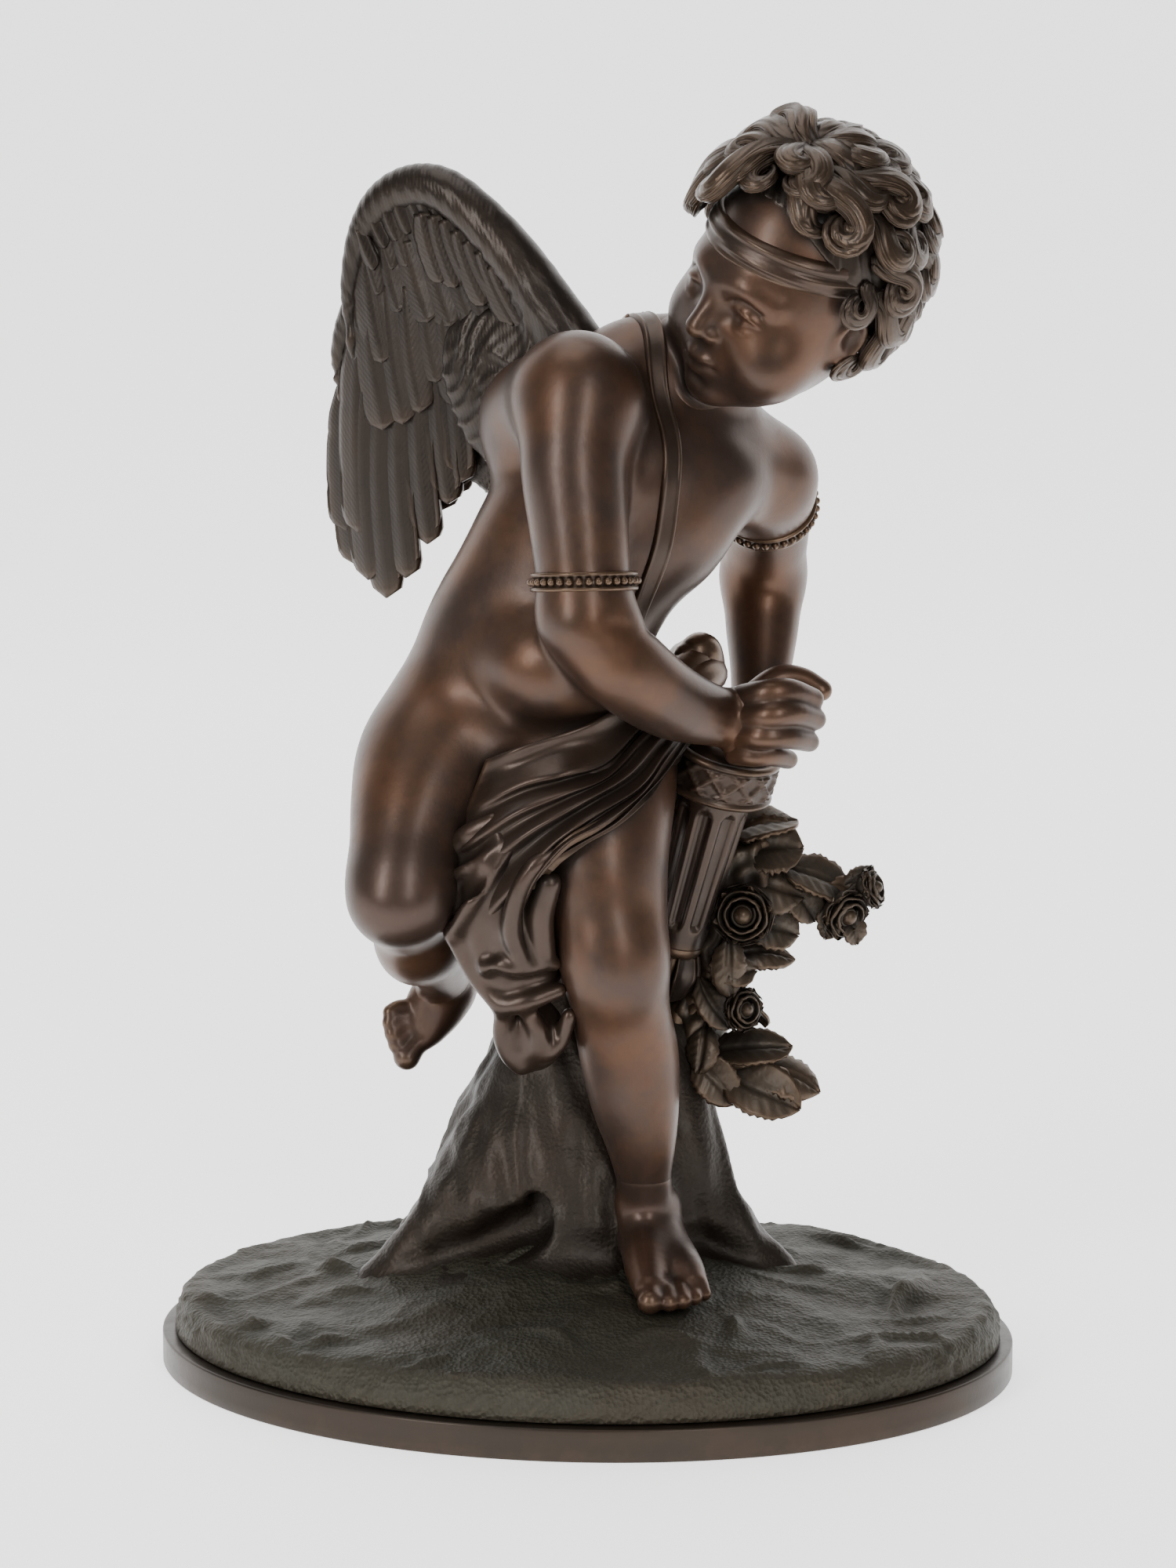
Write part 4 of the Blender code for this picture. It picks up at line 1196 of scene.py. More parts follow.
    def ears(self, clay: Clay) -> None:
        """Two small ears.

        Args:
            clay: The block that is worked.
        """
        at, t = self.at, self.turn
        for side in (-1, 1):
            clay.ball(at(29.0 * side, 0, -9), (3.4, 6.0, 8.6), 2.5, turn=t)
            rim = [at(side * x, y, z, 1.4) for x, y, z in
                   ((30.2, 5, -10), (31.8, 4.4, -5), (32.8, 1, -1), (33.2, -3.4, -2), (32.8, -5.2, -8),
                    (31.6, -2.4, -14),
                    (30.2, 1.4, -17))]
            clay.chain(rim, 1.2)
            clay.ball(at(33.4 * side, 0, -9), (2.4, 3.0, 4.2), 1.6, cut=True, turn=t)

    def make(self, figure: Figure) -> None:
        """Makes the head's piece, down to the neck.

        Args:
            figure: The figure whose neck and shoulders it joins.
        """
        centre = np.asarray(self.centre)
        clay, own = (Clay(centre - (46, 46, 54), centre + (44, 44, 48), self.step) for _ in range(2))
        figure.body(clay)
        self.sculpt(own)
        clay.join(own, 5)
        clay.field = np.maximum(clay.field, own.field - 6)
        clay.ease(1)
        mould = Mould()
        mould.shell(*clay.skin())
        mould.piece("head", SKIN)


def heading(azimuth: float, height: float) -> Array:
    """The direction, in the head's own axes, at an angle from the brow and an angle over the ears."""
    return np.array((math.sin(azimuth) * math.cos(height), math.cos(azimuth) * math.cos(height),
                     math.sin(height)))


@dataclass
class Hair:
    """Thick curls combed out from a parting on top, tumbling over the blindfold, and curls behind.

    Attributes:
        head: What it grows on.
        around: Points in each ring of a lock.
        rows: Rings along a lock.
        parting: Where the hair is combed from, in degrees from the brow and over the ears.
        front: The locks round the face: place of the root, place of the curl, how far it turns, how far it
            stands off, and its radius.
    """

    head: Head
    around: int = 12
    rows: int = 24
    parting: tuple[float, float] = (-34.0, 74.0)
    front: Sequence[Station] = (
        (-36, 76, -82, 50, -300, 9.5, 5.4), (-34, 70, -66, 38, -280, 8.5, 5.0),
        (-36, 64, -56, 25, 300, 8, 4.8), (-34, 62, -43, 43, -300, 8.5, 4.8),
        (-48, 38, -48, 12, 260, 6.5, 4.2), (-30, 62, -20, 36, 280, 8, 4.8),
        (-26, 64, -2, 42, -260, 5.5, 4.2), (-20, 72, 18, 58, -220, 7, 5.2), (-10, 74, 38, 50, 240, 7, 5.2),
        (8, 74, 58, 46, -280, 6.5, 5.4), (30, 62, 66, 24, 320, 8, 5.8), (50, 68, 92, 48, -240, 6, 5.2),
        (70, 66, 106, 36, 320, 8, 5.8), (40, 80, 116, 66, -200, 6, 5.4), (86, 44, 100, 20, -300, 6.5, 5.2),
        (90, 22, 106, 2, 300, 6.5, 5.0), (92, 4, 110, -16, -280, 6, 4.6), (84, 10, 84, -4, 260, 4, 3.2),
        (102, -8, 104, -34, -300, 5.5, 4.4), (98, -22, 92, -42, 300, 4.5, 3.6),
        (-70, 62, -100, 38, 280, 7, 5.0), (-72, 34, -84, 14, -280, 6, 4.6),
        (-90, 60, -128, 42, -260, 6, 5.0), (-94, 18, -108, -8, 260, 5.5, 4.6),
        (-84, -8, -92, -30, -260, 5, 4.2), (-24, 80, 74, 62, 90, 3.5, 6.4), (0, 84, 100, 66, -70, 3.5, 6.4),
        (-50, 84, 160, 66, 70, 3.5, 6.4), (-60, 80, -130, 62, -70, 3.5, 6.4),
        (14, 66, 48, 34, -120, 4, 5.4), (-32, 66, -28, 22, 270, 9, 6.2), (-38, 62, -45, 9, -280, 8, 6.2),
        (-46, 60, -62, 4, 280, 7, 5.8))

    @staticmethod
    def way(azimuth: float, height: float) -> Array:
        """The direction of a place given in degrees from the brow and over the ears."""
        return heading(math.radians(azimuth), math.radians(height))

    def path(self, root: Array, tip: Array, curl: float, proud: float, radius: float,
             further: float) -> tuple[Array, Array]:
        """The run of one lock over the scalp.

        Args:
            root: Direction of its root.
            tip: Direction of the middle of its curl.
            curl: How far its end turns, in degrees.
            proud: How far its middle stands off the scalp.
            radius: At the root.
            further: Factor on the length of the curled end.

        Returns:
            Rows of x, y, z and radius, and the outward direction at each.
        """
        run = unit(tip - root * (root @ tip))
        straight = math.acos(min(root @ tip, 1)) * 40
        length = straight + further * math.radians(abs(curl)) * 3.4
        way, rows, outs, before = root, [], [], 0.0
        for i in range(self.rows):
            t = i / (self.rows - 1)
            lift = 1.5 + proud * math.sin(math.pi * (0.10 + 0.72 * t))
            swell = 0.72 + 0.28 * math.sin(math.pi * t)
            rows.append((*self.head.scalp(way, lift)[0], radius * swell * (1 - 0.55 * t ** 4)))
            outs.append(way @ self.head.turn)
            begin = max(straight - 5, 1) / length
            turn = math.radians(curl) * max((t - begin) / (1 - begin), 0) ** 1.15
            turn -= 0.10 * math.radians(curl) * math.sin(math.pi * min(t / begin, 1))
            bend, before = turn - before, turn
            run = run * math.cos(bend) + np.cross(way, run) * math.sin(bend)
            step = length / (self.rows - 1) / (38 + lift)
            ahead = way * math.cos(step) + run * math.sin(step)
            way, run = ahead, run * math.cos(step) - way * math.sin(step)
        return np.array(rows), np.array(outs)

    def lock(self, mould: Mould, root: Array, tip: Array, curl: float, proud: float, radius: float,
             seed: int) -> None:
        """Adds one lock: a grooved core with a looser strand on either side.

        Args:
            mould: What it goes into.
            root: Direction of its root.
            tip: Direction of the middle of its curl.
            curl: How far its end turns, in degrees.
            proud: How far its middle stands off the scalp.
            radius: At the root.
            seed: Sets how it is grooved.
        """
        path, outs = self.path(root, tip, curl, proud, radius, 1.0)
        phase = seed * 1.7

        def strands(turn: Array, share: Array) -> Array:
            """The lock's grooved outline."""
            groove = 0.20 * np.abs(np.sin(3.5 * turn + phase + 1.4 * share))
            return 1 - groove + 0.07 * np.cos(4 * turn - phase)

        mould.tube(path, self.around, outs, strands, flat=0.8)
        for side, reach, tighter in ((-1, 0.92, 1.1), (1, 1.15, 0.9)):
            wisp, outs = self.path(root, tip, curl * tighter, proud + 0.8, radius * 0.52, reach)
            _, across, _ = frames(wisp[:, :3], outs)
            wisp[:, :3] += side * across * (0.55 * radius * np.linspace(1, 0.6, len(wisp)))[:, None]
            mould.tube(wisp, 7, outs, lambda turn, share: 1 - 0.16 * np.abs(np.sin(2.5 * turn + phase)),
                       flat=0.85)

    def cap(self, mould: Mould) -> None:
        """Adds the combed hair that the locks rise from.

        Args:
            mould: What it goes into.
        """
        head = self.head
        clay = Clay(head.skull - 50, head.skull + 50, 1.1)
        clay.ball(head.skull - 2.5 * head.f + 2.5 * head.u, np.asarray(head.skull_radii) + (3.0, 1.0, 2.0),
                  1, turn=head.turn)
        clay.trim(head.skull + 3 * head.f - 5 * head.u, head.f * 0.8 - head.u * 0.6)
        points, quads = clay.skin()
        pole = self.way(*self.parting) @ head.turn
        rel = units(points - head.skull)
        side = unit(np.cross(pole, head.f))
        around = np.arctan2(rel @ side, rel @ np.cross(pole, side))
        comb = np.abs(np.sin(13 * around + 0.8 * ripple(points, 24, 8))) + 0.5 * np.abs(np.sin(29 * around))
        mould.shell(points - 0.9 * comb[:, None] * rel, quads)

    def make(self) -> None:
        """Makes cap and locks."""
        mould = Mould()
        for i, (a, h, b, k, curl, proud, radius) in enumerate(self.front):
            self.lock(mould, self.way(a, h), self.way(b, k), curl, proud, radius, i)
        for row, (height, count) in enumerate(((62, 6), (42, 8), (23, 9), (4, 9), (-14, 8), (-31, 7))):
            for i in range(count):
                azimuth = 118 + (i + 0.5 * (row % 2)) * 168 / count
                sway = 9 if (i + row) % 2 else -9
                self.lock(mould, self.way(azimuth, height + 14), self.way(azimuth + sway, height - 4),
                          300 if sway > 0 else -300, 5.0, 5.0 + 0.5 * math.sin(i * 1.9 + row * 2.1),
                          i * 3 + row)
        self.cap(mould)
        mould.piece("hair", HAIR)


@dataclass
class Blindfold:
    """A cloth band pushed up on the brow, drawn into folds, and gathered narrower behind."""

    head: Head
    width: float = 12.0
    tilt: float = 10.0

    def make(self) -> None:
        """Makes the band."""
        mould = Mould()
        turns = np.linspace(0, 2 * math.pi, 160, endpoint=False)
        across = np.linspace(-1, 1, 17)
        rings = []
        for a in turns:
            rise = math.radians(self.tilt + 5.4 * math.cos(a))
            outer, inner = [], []
            for s in across:
                fold = 0.55 * math.cos(s * 7.5 + 1.2 * math.sin(a * 2) + 0.8)
                fold += 0.35 * math.cos(s * 13 - 2 * math.sin(a * 3 + 1))
                pinch = 1 - 0.25 * (0.5 - 0.5 * math.cos(a)) ** 3
                h = rise + s * pinch * self.width / 2 / 38
                way = heading(a, h)
                lift = 1.7 * (1 - abs(s) ** 6) + fold * (1 - s * s) ** 0.5 * 0.8
                outer.append(self.head.scalp(way, lift)[0])
                inner.append(self.head.scalp(way, -1.5)[0])
            rings.append(outer + inner[::-1])
        mould.hoop(np.array(rings)[:, ::-1])
        mould.piece("blindfold", CLOTH)


@dataclass
class Wing:
    """A wing: thick downy leading edge, three rows of coverts and long flight feathers.

    Attributes:
        name: Start of its pieces' names.
        root: Where it grows from the back.
        direction: Which way it spreads, in degrees from the viewer's right.
        size: Factor on all of it.
        lifted: Factor on its height.
    """

    name: str
    root: Station
    direction: float
    size: float = 1.0
    lifted: float = 1.0

    def __post_init__(self) -> None:
        """Works out the wing's own directions."""
        turn = math.radians(self.direction)
        self.spread = np.array((math.cos(turn), math.sin(turn), 0.0))
        self.toward = np.array((-self.spread[1], self.spread[0], 0.0))

    def at(self, out: float | Array, up: float | Array, front: float | Array = 0.0) -> Array:
        """Points from places on the wing: out from the root, up, and towards the front.

        Args:
            out: Distance out from the root.
            up: Height over the root.
            front: Distance towards the front.

        Returns:
            Places in the figure's frame.
        """
        out, up, front = np.broadcast_arrays(*(np.asarray(v, float) for v in (out, up, front)))
        bend = front - 0.0016 * out * out - 0.0006 * (up - 10) ** 2 * (up < 10)
        raised = np.stack([0 * up, 0 * up, up * self.lifted], -1)
        offset = out[..., None] * self.spread + raised + bend[..., None] * self.toward
        return np.asarray(self.root) + self.size * offset

    def edge(self, out: float | Array) -> float | Array:
        """How high the leading edge runs, at a distance out from the root."""
        return np.interp(out, (0, 14, 27, 42, 56, 68, 77, 82), (6, 24, 38, 49, 51, 45, 33, 16))

    def feather(self, mould: Mould, base: Station, tip: Station, wide: float, front: float, bow: float = 0.0,
                rows: int = 21, columns: int = 9, seed: int = 0, behind: bool = False) -> None:
        """Adds a feather.

        Args:
            mould: What it goes into.
            base: Where its quill starts, out and up.
            tip: Where it ends, out and up.
            wide: Half its width.
            front: How far it lies over the wing's middle plane at its base.
            bow: How far its middle bends outwards.
            rows: Points along.
            columns: Points across.
            seed: Sets where its vane is notched.
            behind: Whether it lies on the wing's far side.
        """
        s = np.linspace(0, 1, rows)
        c = np.linspace(-1, 1, columns)
        out = base[0] + (tip[0] - base[0]) * s + bow * np.sin(math.pi * s)
        up = base[1] + (tip[1] - base[1]) * s
        way = units(np.stack([np.gradient(out), np.gradient(up)], 1))
        length = float(np.linalg.norm(np.subtract(tip, base)))
        blunt = min(0.45, 1.05 * wide / length)
        close = np.sqrt(np.clip(1 - (np.clip(s - 1 + blunt, 0, 1) / blunt) ** 2, 0.0, 1))
        half = wide * np.minimum(0.6 + 1.4 * s, 1.0) * np.maximum(close, 0.03)
        notch = 1 - 0.07 * np.maximum(np.sin(s * 19 + seed * 2.1), 0) ** 8
        across = half[:, None] * c[None] * notch[:, None]
        u = out[:, None] + across * way[:, 1:2]
        v = up[:, None] - across * way[:, 0:1]
        shaft = 0.7 * np.exp(-(across / 0.7) ** 2) * (1 - 0.5 * s[:, None])
        cup = -1.5 * c[None] ** 2 * np.minimum(half / wide, 1)[:, None]
        level = front * (1 - 0.35 * s[:, None]) + shaft + cup
        thick = 1.6
        if behind:
            face, rear = self.at(u, v, -level), self.at(u, v, thick - level)
        else:
            face, rear = self.at(u, v, level)[:, ::-1], self.at(u, v, level - thick)[:, ::-1]
        grain = np.stack(np.broadcast_arrays(s[:, None] * length, across, 0.0), -1)
        mould.sheet(face, rear, grain if behind else grain[:, ::-1])

    def make(self) -> None:
        """Makes arm, plate and feathers."""
        self.arm()
        mould = Mould()
        self.plate(mould)
        primaries = (
            ((78, 4), (82.5, -75), 7.6, 2), ((73, 4), (79.3, -92), 7.4, 4), ((67, 2), (72, -98), 7.2, 4),
            ((61, 0), (63.3, -90), 6.6, 3), ((55, 0), (53.5, -77), 6.4, 2), ((49, 2), (44.5, -62), 6.2, 1),
            ((43, 4), (39, -54), 6.0, 0), ((37, 4), (34, -39), 6.0, 0), ((31, 2), (28, -30), 6.0, 0))
        secondaries = (
            ((75, 14), (69.5, -37), 8.2), ((67, 14), (61, -34.5), 7.8), ((59, 14), (54, -30), 7.4),
            ((51, 14), (47, -19), 7.4), ((44, 12), (39, -27), 7.2), ((37, 10), (31, -18), 6.8))
        greater = (
            ((75, 24), (68.6, -13), 8.2), ((67, 28), (61.5, 5), 7.2), ((58, 30), (49.5, 2), 8.0),
            ((49, 30), (40.5, 1), 8.0), ((41, 28), (32, 2), 7.6), ((33, 22), (25, -2), 7.0))
        for i, (base, tip, wide, bow) in enumerate(primaries):
            self.feather(mould, base, tip, wide, 1.4 - 0.2 * i, bow, seed=i, rows=30)
            self.feather(mould, base, np.add(tip, (0, 3)), wide, 4.6 - 0.2 * i, bow, seed=i, behind=True)
        for i, (base, tip, wide) in enumerate(secondaries):
            self.feather(mould, base, tip, wide, 3.4 - 0.25 * i, 1.5, seed=i + 9)
            self.feather(mould, base, tip, wide, 6.4 - 0.25 * i, 1.5, seed=i + 9, behind=True)
        for i, (base, tip, wide) in enumerate(greater):
            self.feather(mould, base, tip, wide, 5.0 - 0.25 * i, 1.0, seed=i + 15)
        for i in range(9):
            out = 75 - 6.0 * i
            high = self.edge(out)
            self.feather(mould, (out, high - 5), (out - 5.5, high - 25 + 1.5 * math.sin(i * 2.3)), 5.0, 6.4,
                         0.5,
                         seed=i + 21, rows=18)
        for i in range(12):
            out = 76 - 4.8 * i
            high = self.edge(out)
            self.feather(mould, (out, high - 1), (out - 5.5, high - 15 + 1.5 * math.sin(i * 1.9)), 3.6, 8.6,
                         0.6,
                         seed=i + 30, rows=14)
        for i in range(7):
            out = 50 - 4.6 * i
            high = self.edge(out)
            self.feather(mould, (out, high - 10), (out - 7 - i, high - 34 - 2.0 * math.sin(i * 2.7)), 5.4,
                         8.2, 1.0,
                         seed=i + 45, rows=18)
        mould.piece(self.name + "_feathers", FEATHER)

    def plate(self, mould: Mould) -> None:
        """Adds the solid web that carries the feathers.

        Args:
            mould: What it goes into.
        """
        u = np.linspace(2, 79, 40)
        top = self.edge(u) - 2
        low = np.interp(u, (2, 20, 34, 44, 54, 64, 74, 79), (-30, -42, -30, -44, -56, -66, -70, -52))
        s = np.linspace(0, 1, 40)[:, None]
        v = top + (low - top) * s
        grid = np.broadcast_to(u, v.shape)
        mould.sheet(self.at(grid, v, 0.4 - 1.2 * s), self.at(grid, v, -3.6 + 1.2 * s))

    def arm(self) -> None:
        """Makes the fleshy leading edge and the downy root that grows from the back."""
        run = (
            (-14, -14, 0, 10), (-2, 2, 1, 10), (14, 23, 2, 9.2), (27, 37, 3, 8.4), (42, 47.5, 3, 8),
            (55, 49, 3, 7.6), (67, 43.5, 3, 7), (76, 32, 2.6, 5.8), (81.5, 16, 1.6, 4.4), (83, 4, 0.6, 3.2),
            (82, -12, 0, 2.2))
        reach = np.array([self.at(*p[:3]) for p in run] + [self.at(24, -52)])
        clay = Clay(reach.min(0) - 14, reach.max(0) + 14, 1.2)
        clay.chain([(*self.at(*p[:3]), p[3] * self.size) for p in run], 2)
        turn = np.stack([self.spread, self.toward, (0, 0, 1)])
        for place, radii in (((12, -16, 0), (20, 7.4, 26)), ((27, -12, 0), (18, 5, 22)),
                             ((22, -30, 0), (16, 4.6, 17)),
                             ((2, -18, -1), (14, 9, 20))):
            clay.ball(self.at(*place), np.asarray(radii) * self.size, 7, turn=turn)
        clay.ease(1)
        points, quads = clay.skin()
        rel = (points - np.asarray(self.root)) / self.size
        u, v = rel @ self.spread, rel[:, 2] / self.lifted
        inner = np.clip((self.edge(u) - v - 7) / 8, 0, 1)
        across = 0.67 * u + 0.74 * v
        wavy = 1 - 2 * np.abs(np.sin(0.42 * across + 1.3 * ripple(points, 30, 3)))
        fine = np.sin(1.5 * across + 2.4 * ripple(points, 22, 6))
        hairs = np.sin(1.3 * (u - 0.5 * v) + 1.6 * ripple(points, 18, 4)) * (1 - inner)
        push = inner * (0.5 * wavy + 0.16 * fine) + 0.10 * hairs
        points = points + units(clay.slope(points)) * push[:, None]
        mould = Mould()
        mould.shell(points, quads, grain=np.column_stack([0.6 * (0.67 * u + 0.74 * v), u - 0.5 * v, 0 * u]))
        mould.piece(self.name + "_arm", FEATHER)


@dataclass
class Drapery:
    """Cloth knotted at the left hip, swung over the thighs, and falling in folds between the legs."""

    steps: int = 56
    crests: Sequence[Sequence[Station]] = (
        ((31, -8, 225), (22, -24, 228), (11, -35, 228), (1, -41, 224), (-12, -44, 220), (-24, -44, 216),
         (-34, -38, 211)),
        ((33, -12, 221), (21, -29, 223), (7, -44, 212), (-7, -51, 209), (-20, -50, 206), (-32, -46, 200),
         (-41, -38, 194)),
        ((33, -13, 220), (22, -31, 220), (8, -48, 208), (-7, -55, 203), (-23, -56, 197), (-36, -51, 188),
         (-45, -42, 181)),
        ((34, -14, 219), (26, -30, 218), (14, -48, 208), (-2, -58, 200), (-18, -59, 191), (-32, -53, 180),
         (-46, -41, 170)),
        ((34, -16, 218), (27, -33, 213), (18, -49, 204), (2, -60, 196), (-12, -61, 186), (-24, -58, 172),
         (-35, -48, 158)),
        ((34, -17, 216), (27, -34, 210), (19, -50, 202), (6, -61, 194), (-6, -64, 188), (-16, -61, 176),
         (-22, -54, 162)),
        ((35, -18, 214), (27, -35, 206), (20, -48, 201), (10, -57, 193), (-3, -60, 186), (-12, -58, 180),
         (-18, -52, 170)))

    def fan(self, mould: Mould) -> None:
        """Adds the cloth that fans out over the thighs.

        Args:
            mould: What it goes into.
        """
        rows = [even(spline(c, 10), self.steps) for c in self.crests]
        s = np.linspace(0, 1, self.steps)[:, None]
        lines = [rows[0] + (0, 5, -1)]
        for i, row in enumerate(rows):
            lines.append(row)
            if i + 1 < len(rows):
                dip = (4.6 if i % 2 else 3.4) * np.sin(math.pi * (0.12 + 0.8 * s)) ** 0.7
                lines.append((row * 0.55 + rows[i + 1] * 0.45) + dip * np.array((0.2, 1.0, 0.1)))
        lines.append(rows[-1] + (0, 5, -1))
        grid = np.stack(lines)
        fine = spline(grid.reshape(len(lines), -1), 6).reshape(-1, self.steps, 3)
        self._lay(mould, fine, 3.0)

    def fall(self, mould: Mould) -> None:
        """Adds the cloth that hangs between the legs, with a rolled hem and a gathered end on the stump.

        Args:
            mould: What it goes into.
        """
        clay = Clay((-62, -72, 88), (34, 10, 214), 1.0)
        clay.ball((-25, -33, 176), (20, 19, 17), 4)
        clay.ball((-29, -33, 158), (17, 18, 20), 8)
        clay.ball((-24, -32, 140), (17, 14, 14), 8)
        clay.ball((-18, -30, 114), (11, 10, 13), 6)
        folds = (
            ((-31, -48, 193, 2.4), (-39.5, -45, 187.5, 3.4), (-44, -41, 183, 2.8)),
            ((-30, -51, 188, 2.4), (-36, -50, 182.5, 3.4), (-41, -47, 177.5, 3.4), (-46, -42, 172.5, 2.8)),
            ((-24, -53, 186, 2.2), (-30, -54, 180, 3.2), (-36.5, -52, 170, 3.6), (-41, -48, 161, 3.6),
             (-45, -42, 152.5, 3.0)),
            ((-8, -57, 185, 2.2), (-15, -59, 181, 3.0), (-20, -58.5, 176, 3.4), (-24, -56, 166, 3.4),
             (-25, -53, 155, 3.2), (-22, -50, 145, 2.8)),
            ((-12, -53, 172, 4.0), (-15, -50, 160, 4.5), (-14, -47, 147, 4.0)),
            ((-44, -41, 183, 2.4), (-43, -40, 177.5, 2.2), (-46, -40, 171.5, 2.8), (-44, -39, 162.5, 2.4),
             (-45, -40, 152, 2.8), (-40.5, -39, 141.5, 2.8), (-34, -40, 132.5, 3.2), (-28, -43, 127.5, 3.4),
             (-19, -45, 129.5, 3.4), (-9, -43, 132.5, 2.8)),
            ((-34, -46, 141, 2.2), (-29, -49, 142.5, 2.8), (-23, -49, 140.5, 2.8), (-10, -45, 142, 2.2)),
            ((-28, -40, 124, 3.2), (-28.5, -37, 115, 3.4), (-26, -35, 107.5, 3.2), (-22.5, -34, 103, 2.6)),
            ((-20, -42, 125, 2.8), (-16, -41, 118, 3.2), (-14, -38, 109.5, 3.2), (-9, -38, 113, 3.0),
             (-5.5, -40, 123, 2.8)))
        for fold in folds:
            clay.chain(fold, 4.0)
        hollows = (
            ((-31, -53, 189, 0.8), (-34, -52, 186, 1.6), (-39, -49, 181.5, 2.2), (-44, -45, 177.5, 2.0)),
            ((-27, -57, 185, 0.8), (-30, -56.5, 181, 1.8), (-34, -56, 175.5, 2.4), (-41, -48, 165.5, 2.4),
             (-44, -44, 160, 2.0)),
            ((-22, -60, 180, 0.8), (-25, -59, 177, 1.8), (-31, -57, 168, 2.8), (-34.5, -53, 155, 3.4),
             (-34, -50, 147, 3.0)),
            ((-31, -50, 137.5, 2.6), (-27, -51, 136, 3.0), (-21, -50, 135.5, 2.6), (-12, -48, 137.5, 1.8)),
            ((-24, -43, 122, 1.0), (-22.5, -41, 111.5, 1.2)),
            ((-12, -44, 124, 1.0), (-10.5, -42, 116.5, 1.2)))
        for hollow in hollows:
            clay.chain(hollow, 3.2, cut=True)
        clay.ease(1)
        mould.shell(*clay.skin())

    def back(self, mould: Mould) -> None:
        """Adds the cloth that wraps the left hip and meets the stump behind.

        Args:
            mould: What it goes into.
        """
        tops = ((30, -10, 228), (40, 4, 240), (41, 20, 242), (34, 36, 236), (20, 46, 228), (0, 52, 222),
                (-20, 52, 214), (-36, 44, 206))
        mids = ((34, -14, 214), (42, 2, 222), (44, 20, 220), (38, 38, 212), (22, 52, 204), (2, 58, 198),
                (-18, 56, 192), (-34, 46, 188))
        lows = ((32, -10, 200), (40, 4, 200), (42, 20, 196), (36, 40, 188), (22, 54, 180), (4, 60, 172),
                (-14, 56, 170), (-28, 46, 172))
        ends = ((26, -6, 190), (34, 6, 182), (36, 20, 174), (30, 40, 164), (18, 54, 152), (4, 60, 146),
                (-10, 56, 150), (-22, 46, 158))
        rows = np.array([tops, mids, lows, ends], float)
        fine = spline(rows.reshape(4, -1), 12).reshape(-1, 8, 3)
        wide = spline(fine.transpose(1, 0, 2).reshape(8, -1), 9).reshape(-1, len(fine), 3)
        centre = np.array((8, 20, 200))
        out = units((wide - centre) * (1, 1, 0))
        t = np.linspace(0, 1, wide.shape[1])[None]
        k = np.linspace(0, 1, wide.shape[0])[:, None]
        wave = np.sin(k * 40 + 5 * t) * (0.5 + t) * 1.3 + np.sin(k * 17 - 3 * t + 1) * 1.4
        wide = wide + out * wave[..., None]
        self._lay(mould, wide, 3.0, out)

    def _lay(self, mould: Mould, grid: Array, thick: float, out: Optional[Array] = None) -> None:
        """Adds a grid of points as cloth with a back a little way in.

        Args:
            mould: What it goes into.
            grid: Rows by columns of points.
            thick: Thickness of the cloth.
            out: The way that its face looks, where it isn't the front.
        """
        if out is None:
            out = np.broadcast_to(unit((-0.1, -0.95, 0.3)), grid.shape)
        normal = np.cross(np.gradient(grid, axis=0), np.gradient(grid, axis=1))
        normal = units(normal)
        facing = np.sign((normal * out).sum(-1).mean())
        normal = units(normal * facing + 0.8 * out)
        front, rear = grid, grid - normal * thick
        if facing > 0:
            front, rear = front[:, ::-1], rear[:, ::-1]
        mould.sheet(front, rear)

    def make(self) -> None:
        """Makes the cloth and its knot."""
        mould = Mould()
        self.fan(mould)
        self.fall(mould)
        self.back(mould)
        for path in (((28, -12, 228, 5), (36, 2, 236, 7), (40, 16, 239, 7), (34, 30, 236, 5)),
                     ((26, -14, 224, 5), (37, -4, 232, 6.5), (43, 10, 233, 6.5), (40, 24, 229, 5)),
                     ((35, 4, 240, 5), (40, 8, 241, 7), (43, 16, 234, 6))):
            mould.tube(even(spline(path, 8), 26), 16, (0.3, -1, 0.2))
        clay = Clay((-60, -60, 160), (50, 40, 236), 1.4)
        clay.chain(((24, -14, 212, 10), (4, -32, 204, 13), (-16, -34, 198, 14), (-32, -28, 190, 12)), 8)
        mould.shell(*clay.skin())
        mould.piece("drapery", CLOTH)


